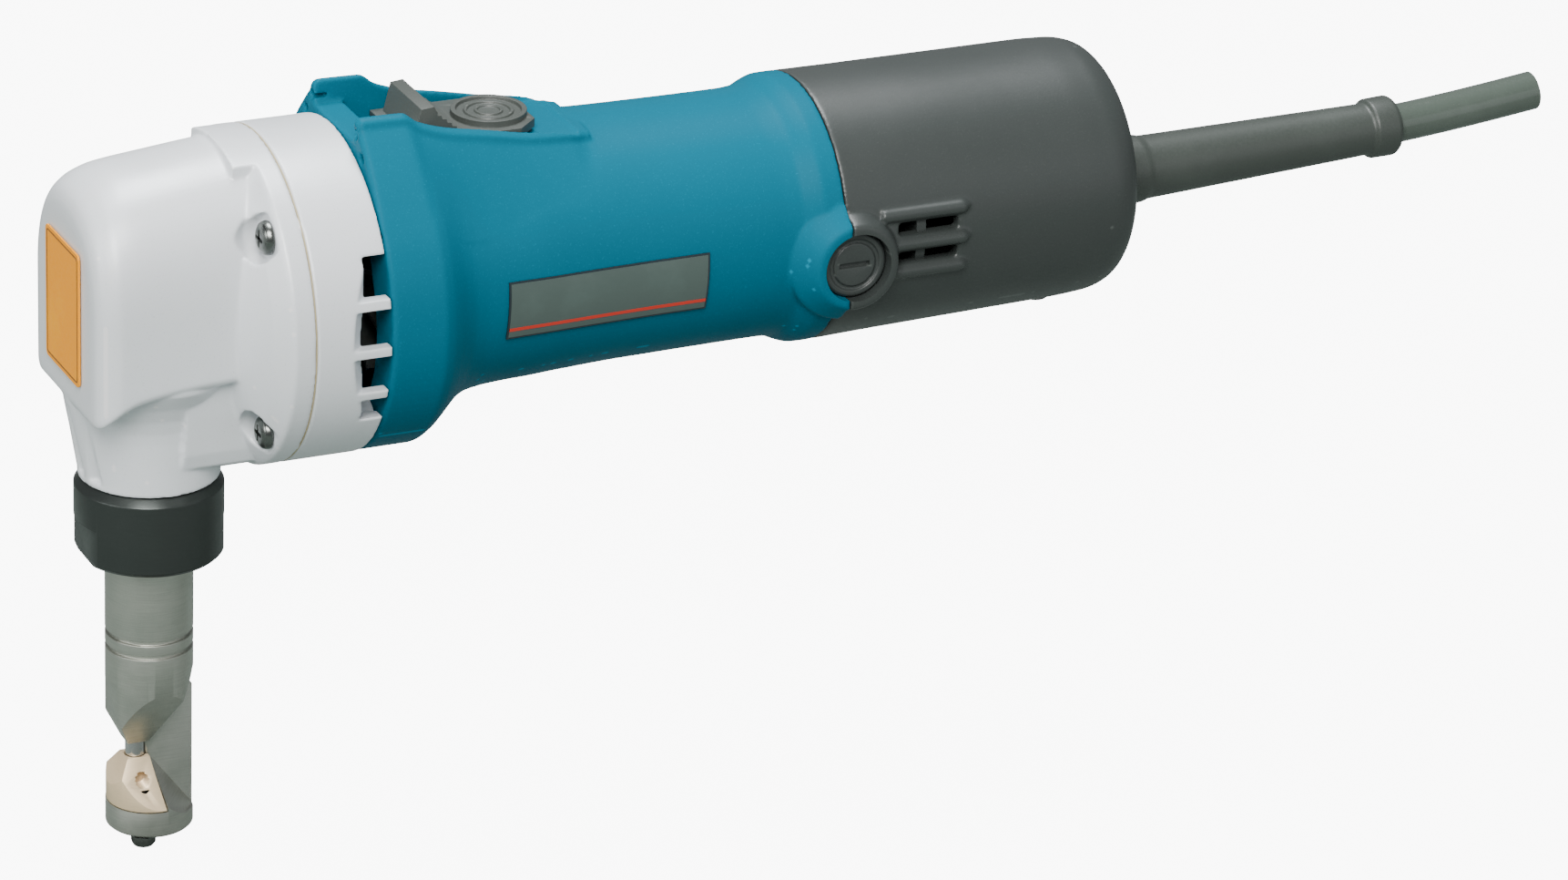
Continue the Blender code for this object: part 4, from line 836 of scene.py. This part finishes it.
def make_die_holder():
    """The punch's guide tube: square-cut tip, thin web, braced foot and two gauge grooves."""
    bottom, top = HOLDER_LOW.z, HOLDER_HIGH.z
    tip = -112.6 * MM
    groove = [
        point for level in (-84.0 * MM, -87.6 * MM)
        for point in ((level + 0.6 * MM, HOLDER_RADIUS), (level + 0.5 * MM, 9.6 * MM),
                      (level - 0.5 * MM, 9.6 * MM), (level - 0.6 * MM, HOLDER_RADIUS))
    ]
    holder = turned(
        "die_holder_body",
        [(top, 0), (top, HOLDER_RADIUS - 0.5 * MM), (top - 0.5 * MM, HOLDER_RADIUS), *groove,
         (bottom + 0.6 * MM, HOLDER_RADIUS), (bottom, HOLDER_RADIUS - 0.6 * MM), (bottom, 0)],
        along=(0, 0, 1), steps=128, edge=0.12 * MM,
    )
    upper = rod("upper", 16 * MM, (0, 0, -93.5 * MM), (0, 0, 0))
    bottom_disc = rod("bottom_disc", 12.5 * MM, (0, 0, -139 * MM), (0, 0, -132.5 * MM))
    foot_outline = mm((-15, -140), (15, -140), (15, -132.5), (6.0, -132.5), (1.6, -127.8), (-15, -127.8))
    wedge_outline = mm((-0.7, -116.4), (3.4, -127.8), (6.0, -132.5), (11.2, -132.5), (11.2, -132.2))
    wedge = loft("wedge", [
        [(x, y * MM, max(z - drop * MM, -133.5 * MM)) for x, z in wedge_outline]
        for y, drop in ((-11, 9.9), (-1.1, 0), (1.1, 0), (11, 9.9))
    ])
    die_room = mm((-15.0, -114.0), (-0.9, -114.0), (-0.1, -120.0), (1.1, -127.8), (-15.0, -127.8))
    cut(wedge, prism("die_room", die_room, -13 * MM, 13 * MM))
    join(
        bottom_disc,
        prism("foot", foot_outline, -12 * MM, 12 * MM),
        prism("web", WEB_OUTLINE, -1.1 * MM, 1.1 * MM),
        wedge,
        pyramid("tip_flats", 2.5 * MM, tip + 0.2 * MM, -93 * MM, 1.9, 2.15),
        upper,
    )
    trim(holder, bottom_disc)
    cut(
        holder,
        rod("ram_bore", 7.3 * MM, (0, 0, -88 * MM), (0, 0, -15 * MM)),
        rod("punch_bore", PUNCH_HOLE, (PUNCH_X, 0, -120.5 * MM), (PUNCH_X, 0, -85 * MM)),
        rod("chip_hole", PUNCH_HOLE, (PUNCH_X, 0, -137 * MM), (PUNCH_X, 0, -125 * MM)),
        block("front_flat", (-12 * MM, -4.5 * MM, -109 * MM), (-9.3 * MM, 4.5 * MM, -96.5 * MM)),
        *bolt_holes(-136 * MM, -125 * MM),
    )
    bevel(holder, 0.12 * MM, 2, 35)
    finish_piece(holder, STEEL, "steel", "die_holder", "die_holder", angle=30)


def bolt_holes(low, high):
    """Cutters for the two die bolts, along Z."""
    return [
        rod(f"bolt_hole_{side}", DIE_BOLT_HOLE, (PUNCH_X, side * DIE_BOLT_SPREAD, low),
            (PUNCH_X, side * DIE_BOLT_SPREAD, high), 24)
        for side in (-1, 1)
    ]


def make_die():
    """The straw-coloured die with its sloping flats and threaded side hole."""
    top, bottom = DIE_HIGH.z - 0.8 * MM, DIE_LOW.z
    die = rod("die_body", HOLDER_RADIUS - 0.1 * MM, (0, 0, bottom), (0, 0, top), 96)
    trim(die, pyramid("die_flats", 2.7 * MM, top + 0.1 * MM, bottom - 2 * MM, 1.5, 1.7))
    back = mm((-1.2, -114.0), (-0.4, -120.0), (1.0, -129.0), (13.0, -129.0), (13.0, -114.0))
    slot = [(x - 0.3 * MM, z) for x, z in WEB_OUTLINE]
    cut(
        die,
        prism("back", back, -13 * MM, 13 * MM),
        prism("web_slot", slot, -1.4 * MM, 1.4 * MM),
        rod("punch_hole", PUNCH_HOLE, (PUNCH_X, 0, -129 * MM), (PUNCH_X, 0, -113 * MM)),
        *bolt_holes(-129 * MM, -122.8 * MM),
        threaded_hole(),
    )
    bevel(die, 0.1 * MM, 2, 30)
    finish_piece(die, BRONZE, "tool_bronze", "die_holder", "die", angle=30)


def threaded_hole():
    """A cutter with the ridges of a thread, for the hole in the die's near face."""
    pitch, reach, start = 0.5 * MM, 1.9 * MM, 3.0 * MM
    profile = [(start, 0)]
    count = 18
    for i in range(count):
        profile.append((start + i * pitch, reach - 0.35 * MM))
        profile.append((start + (i + 0.5) * pitch, reach))
    profile.append((start + count * pitch, 0))
    return turned("thread", profile, (PUNCH_X - 0.2 * MM, 0, -120.8 * MM), (0, -1, 0), steps=32, edge=0)


def make_small_steel():
    """The punch and the two die bolts."""
    punch = turned(
        "punch_body",
        [(PUNCH_HIGH.z, 0), (PUNCH_HIGH.z, 2.3 * MM), (PUNCH_LOW.z, 2.3 * MM), (PUNCH_LOW.z, 0)],
        (PUNCH_X, 0, 0), (0, 0, 1), steps=48, edge=0.08 * MM,
    )
    finish_piece(punch, GROUND, "steel", "punch", "punch", angle=40)
    for i in (1, 2):
        low, high = place(f"die_bolt_{i}")
        y = (low.y + high.y) / 2
        seat = HOLDER_LOW.z
        bolt = rod(f"die_bolt_head_{i}", 3.0 * MM, (PUNCH_X, y, low.z), (PUNCH_X, y, seat - SLIP), 6)
        cap_low = (PUNCH_X, y, low.z - 0.01 * MM)
        trim(bolt, rod("cap", 2.3 * MM, cap_low, (PUNCH_X, y, seat), 32, end_radius=4.6 * MM))
        join(bolt, rod("shank", 1.4 * MM, (PUNCH_X, y, seat - MM), (PUNCH_X, y, high.z), 24))
        bevel(bolt, 0.12 * MM, 2, 30)
        finish_piece(bolt, SCREW_STEEL, "dark_steel", "die_holder", f"die_bolt_{i}", angle=30)


# ---------- small outer parts


def pan_head_screw(name, node, spot, nose, seat, tip, head_radius, shank_radius):
    """A screw along X, its head towards -X, with a cross recess."""
    y, z = spot
    screw = turned(
        name,
        [(nose, 0), (nose, head_radius * 0.62), (nose + 0.7 * MM, head_radius * 0.9),
         (nose + 1.7 * MM, head_radius), (seat, head_radius),
         (seat, shank_radius), (tip, shank_radius), (tip, 0)],
        (0, y, z), steps=48, edge=0.35 * MM,
    )
    for i, (half_y, half_z) in enumerate(mm((0.45, 2.1), (2.1, 0.45))):
        far = (nose + 1.2 * MM, y + half_y, z + half_z)
        cut(screw, block(f"cross_{i}", (nose - MM, y - half_y, z - half_z), far))
    bevel(screw, 0.08 * MM, 2, 40)
    finish_piece(screw, SCREW_STEEL, "dark_steel", "housing", node, angle=35)


def make_screws():
    """The four screws that hold the head, the ring and the body together."""
    seat = 19.7 * MM
    for i, (spot, (low, high)) in enumerate(zip(SCREWS, SCREW_BOXES), 1):
        node = f"housing_screw_{i}"
        pan_head_screw(f"{node}_body", node, spot, low.x, seat, high.x, 4.0 * MM, 2.0 * MM)


def make_brush_caps():
    """The two round caps with a ring and a slot, sunk in their bosses."""
    profile = mm(
        (28.4, 0), (28.4, 5.3), (31.5, 5.3), (31.5, 8.1), (32.8, 8.1), (33.3, 7.5), (33.3, 6.5), (32.7, 6.2),
        (32.7, 5.5), (33.2, 5.2), (33.2, 0),
    )
    left, right = CAP_X - 3.9 * MM, CAP_X + 3.9 * MM
    low, high = CAP_Z - 0.65 * MM, CAP_Z + 0.65 * MM
    for i, side in ((1, -1), (2, 1)):
        cap = turned(f"brush_cap_{i}_body", profile, (CAP_X, 0, CAP_Z), (0, side, 0), edge=0.25 * MM)
        near, far = sorted((side * 32.2 * MM, side * 36 * MM))
        cut(cap, block("slot", (left, near, low), (right, far, high)))
        bevel(cap, 0.1 * MM, 2, 40)
        finish_piece(cap, BLACK, "black_plastic", f"brush_cap_{i}", f"brush_cap_{i}", angle=35)


def make_knob():
    """The thumb slide: a plate with a tall wedge, serrated behind, and a ringed pad."""
    plate = block("switch_knob_body", (58 * MM, -11.2 * MM, 30.9 * MM), (92 * MM, 11.2 * MM, 33 * MM))
    corner_cut = []
    for side in (-1, 1):
        outline = mm((86.5, side * 11.3), (92.2, side * 6.0), (93, side * 13))
        corner_cut.append(loft(f"corner_{side}", [[(x, y, z) for x, y in outline] for z in (0.029, 0.035)]))
    cut(plate, *corner_cut)
    teeth = []
    for k in range(5):
        teeth += [(66.4 + 1.25 * k, 38.0 - 1.0 * k), (67.4 + 1.25 * k, 37.9 - 1.0 * k)]
    wedge_outline = mm((60.5, 32.5), (62.4, 40.0), (65.5, 40.3), (66.4, 38.6), *teeth, (72.8, 32.5))
    wedge = prism("wedge", wedge_outline, -9.6 * MM, 9.6 * MM)
    pad_profile = mm(
        (32, 0), (32, 8.9), (34.4, 8.9), (34.4, 7.7), (33.6, 7.5), (33.6, 5.9), (34.1, 5.7), (34.1, 5.1),
        (33.6, 4.9), (33.6, 3.4), (34.1, 3.2), (34.1, 2.7), (33.7, 2.5), (33.7, 0),
    )
    pad = turned("pad", pad_profile, (83 * MM, 0, 0), (0, 0, 1), edge=0.15 * MM)
    stem = block("stem", (73 * MM, -2.6 * MM, 27.2 * MM), (79 * MM, 2.6 * MM, 31 * MM))
    join(plate, wedge, pad, stem)
    bevel(plate, 0.3 * MM, 3, 35)
    finish_piece(plate, KNOB, "black_plastic", "switch_knob", "switch_knob", angle=35)


# ---------- cord


GUARD_START = Vector((240.6, 0, -3.3)) * MM
GUARD_END = Vector((322.7, 0, -0.6)) * MM
CORD_END = Vector((364.2, 0, 3.5)) * MM


def make_cord():
    """The guard, a tapered sleeve with an end bead, and the shiny cord through it."""
    guard = turned(
        "cord_guard_sleeve",
        mm((-6.2, 5.2), (-6.2, 8.8), (-3.3, 8.8), (-3.3, 6.0), (0.4, 6.0), (0.4, 8.1), (1.6, 8.5),
           (13.0, 8.3), (14.4, 7.8), (76.2, 6.4), (77.0, 7.4), (82.8, 7.5), (83.8, 6.8), (83.8, 5.2)),
        GUARD_START, GUARD_END - GUARD_START, steps=64, edge=0.9 * MM,
    )
    finish_piece(guard, RUBBER, "rubber", "housing", "cord_guard", angle=50)
    path = [guard_line(217 * MM), guard_line(270 * MM), GUARD_END.copy()]
    bend = 12
    for i in range(1, bend + 1):
        share = i / bend
        point = GUARD_END.lerp(CORD_END, share)
        path.append(guard_line(point.x).lerp(point, share ** 0.4))
    radius = 4.8 * MM
    section = [Vector((radius * math.cos(a), radius * math.sin(a), 0)) for a in full_turn(48)]
    rings = []
    for i, point in enumerate(path):
        before, after = path[max(i - 1, 0)], path[min(i + 1, len(path) - 1)]
        turn = (after - before).to_track_quat("Z", "Y").to_matrix()
        rings.append([point + turn @ corner for corner in section])
    cord = loft("power_cord_run", rings)
    finish_piece(cord, CORD, "cord_skin", "housing", "power_cord", angle=50)


def guard_line(x):
    """The point at x on the guard's straight line."""
    return GUARD_START.lerp(GUARD_END, (x - GUARD_START.x) / (GUARD_END.x - GUARD_START.x))


# ---------- labels


def wrapped_plate(name, x_low, x_high, z_low, z_high, lift, depth):
    """A thin plate that follows the grip's round near side, so far above its surface."""
    steps = 24
    rings = []
    for i in range(13):
        x = x_low + (x_high - x_low) * i / 12
        centre_z, radius = body_section(x / MM)
        outer = radius + lift
        inner = outer - depth
        start, end = math.asin((z_low - centre_z) / outer), math.asin((z_high - centre_z) / outer)
        angles = [start + (end - start) * k / steps for k in range(steps + 1)]
        near = [(x, -outer * math.cos(a), centre_z + outer * math.sin(a)) for a in angles]
        back = [(x, -inner * math.cos(a), centre_z + inner * math.sin(a)) for a in reversed(angles)]
        rings.append(near + back)
    return loft(name, rings)


def rounded_label(name, low, high, corner):
    """A flat film across the head's front, its corners rounded."""
    outline = rounded([(low.y, low.z), (high.y, low.z), (high.y, high.z), (low.y, high.z)], corner, True, 8)
    return loft(name, [[(x, y, z) for y, z in outline] for x in (low.x, high.x)])


def make_labels():
    """A blank orange label on the head and a blank grey plate with a red line on the grip."""
    low, high = place("front_label")
    label = rounded_label("front_label_film", low, high, 1.6 * MM)
    finish_piece(label, ORANGE, "orange_label", "housing", "front_label", angle=30)
    frame_low, frame_high = low + Vector((-0.06, 0.9, 0.9)) * MM, high + Vector((-0.1, -0.9, -0.9)) * MM
    border = rounded_label("front_label_border", frame_low, frame_high, 1.0 * MM)
    inner_low, inner_high = frame_low + Vector((-1, 0.3, 0.3)) * MM, frame_high + Vector((1, -0.3, -0.3)) * MM
    cut(border, rounded_label("border_room", inner_low, inner_high, 0.8 * MM))
    finish_piece(border, INK, "orange_label", "housing", angle=30)
    front, back, bottom, top, edge = mm((75.8, 126.6, -10.6, 3.9, 0.45))[0]
    rim = wrapped_plate("name_plate_rim", front, back, bottom, top, 0.45 * MM, 0.5 * MM)
    finish_piece(rim, RIM, "grey_plate", "housing", "name_plate", angle=30)
    inside = front + edge, back - edge
    plate = wrapped_plate("name_plate_foil", *inside, bottom + edge, top - edge, 0.53 * MM, 0.3 * MM)
    finish_piece(plate, PLATE, "grey_plate", "housing", angle=30)
    line = wrapped_plate("name_plate_line", *inside, -8.5 * MM, -7.7 * MM, 0.60 * MM, 0.3 * MM)
    finish_piece(line, RED, "orange_label", "housing", angle=30)


# ---------- pieces kept from CAD


def paint_inner_parts():
    """The inner pieces keep their CAD shapes, with softened edges and their own finishes."""
    finishes = {
        "steel": GROUND, "dark_steel": SCREW_STEEL, "bearing_brass": BRASS, "copper": COPPER,
        "laminations": IRON, "black_plastic": BLACK, "rubber": RUBBER, "carbon": CARBON,
        "cast_aluminium": CAST, "teal_plastic": TEAL, "tool_bronze": BRONZE, "cord_skin": CORD,
        "orange_label": ORANGE, "grey_plate": PLATE,
    }
    slots = {part["node"]: part["material_slot"] for part in frame["record"]["subparts"]}
    for name, node in NODES.items():
        if node.hide_render:
            continue
        node.data.materials.clear()
        node.data.materials.append(finishes[slots[name]])
        add_bevel(node, 0.12 * MM, 2, 35)


# ---------- stage


def make_stage():
    """A plain pale floor that looks white to the camera and throws little light back, and soft lights."""
    top, half = -0.0031, 3.0
    floor = block("floor", (-half, -half, top - 0.02), (half, half, top))
    pale = Surface("pale_floor", (0.15, 0.18, 0.165), 0.9)
    pale.mix(pale.ramp(pale.noise(3, 2), 0.4, 0.8, 0, 0.1), (0.13, 0.16, 0.145))
    seen = pale.node("ShaderNodeLightPath").outputs["Is Camera Ray"]
    pale.shader.inputs["Emission Color"].default_value = (1.0, 1.0, 1.0, 1)
    pale.tree.links.new(pale.ramp(seen, 0, 1, 0, 9.0), pale.shader.inputs["Emission Strength"])
    floor.data.materials.append(pale.done())
    world = bpy.data.worlds.new("studio")
    world.use_nodes = True
    background = world.node_tree.nodes["Background"]
    background.inputs["Color"].default_value = (0.93, 0.97, 1.0, 1)
    background.inputs["Strength"].default_value = 0.27
    bpy.context.scene.world = world
    lamps = (
        ("key", (-0.50, -1.05, 1.23), 0.8, 42.0, (1.0, 0.985, 0.97)),
        ("top", (0.20, 0.35, 1.43), 0.7, 30.0, (0.96, 0.98, 1.0)),
        ("left", (-1.30, -0.20, 0.58), 0.6, 9.0, (1.0, 1.0, 1.0)),
        ("fill", (0.95, -1.10, 0.38), 0.9, 2.2, (0.94, 0.97, 1.0)),
    )
    target = Vector((0.1, 0, 0.11))
    for name, spot, size, power, colour in lamps:
        data = bpy.data.lights.new(name, "AREA")
        data.size = size
        data.energy = power
        data.color = colour
        lamp = bpy.data.objects.new(name, data)
        lamp.location = spot
        lamp.rotation_euler = (target - Vector(spot)).to_track_quat("-Z", "Y").to_euler()
        bpy.context.scene.collection.objects.link(lamp)


def make_camera():
    """A long lens in front of the head, to its left and above, rolled a little."""
    data = bpy.data.cameras.new("camera")
    data.sensor_width = 36.0
    data.lens = 156.8
    camera = bpy.data.objects.new("camera", data)
    right = Vector((0.9073, -0.4189, 0.0365))
    up = Vector((0.1376, 0.3779, 0.9155))
    back = -Vector((0.3973, 0.8256, -0.4006))
    turn = Matrix((right, up, back)).transposed()
    place_seen_from = (-0.49142, -1.35782, 0.59766 + AXIS_HEIGHT)
    camera.matrix_world = Matrix.Translation(place_seen_from) @ turn.to_4x4()
    bpy.context.scene.collection.objects.link(camera)
    bpy.context.scene.camera = camera


make_head()
make_vent_ring()
make_gasket()
make_motor_housing()
make_rear_cover()
make_lock_nut()
make_die_holder()
make_die()
make_small_steel()
make_screws()
make_brush_caps()
make_knob()
make_cord()
make_labels()
paint_inner_parts()
make_stage()
make_camera()
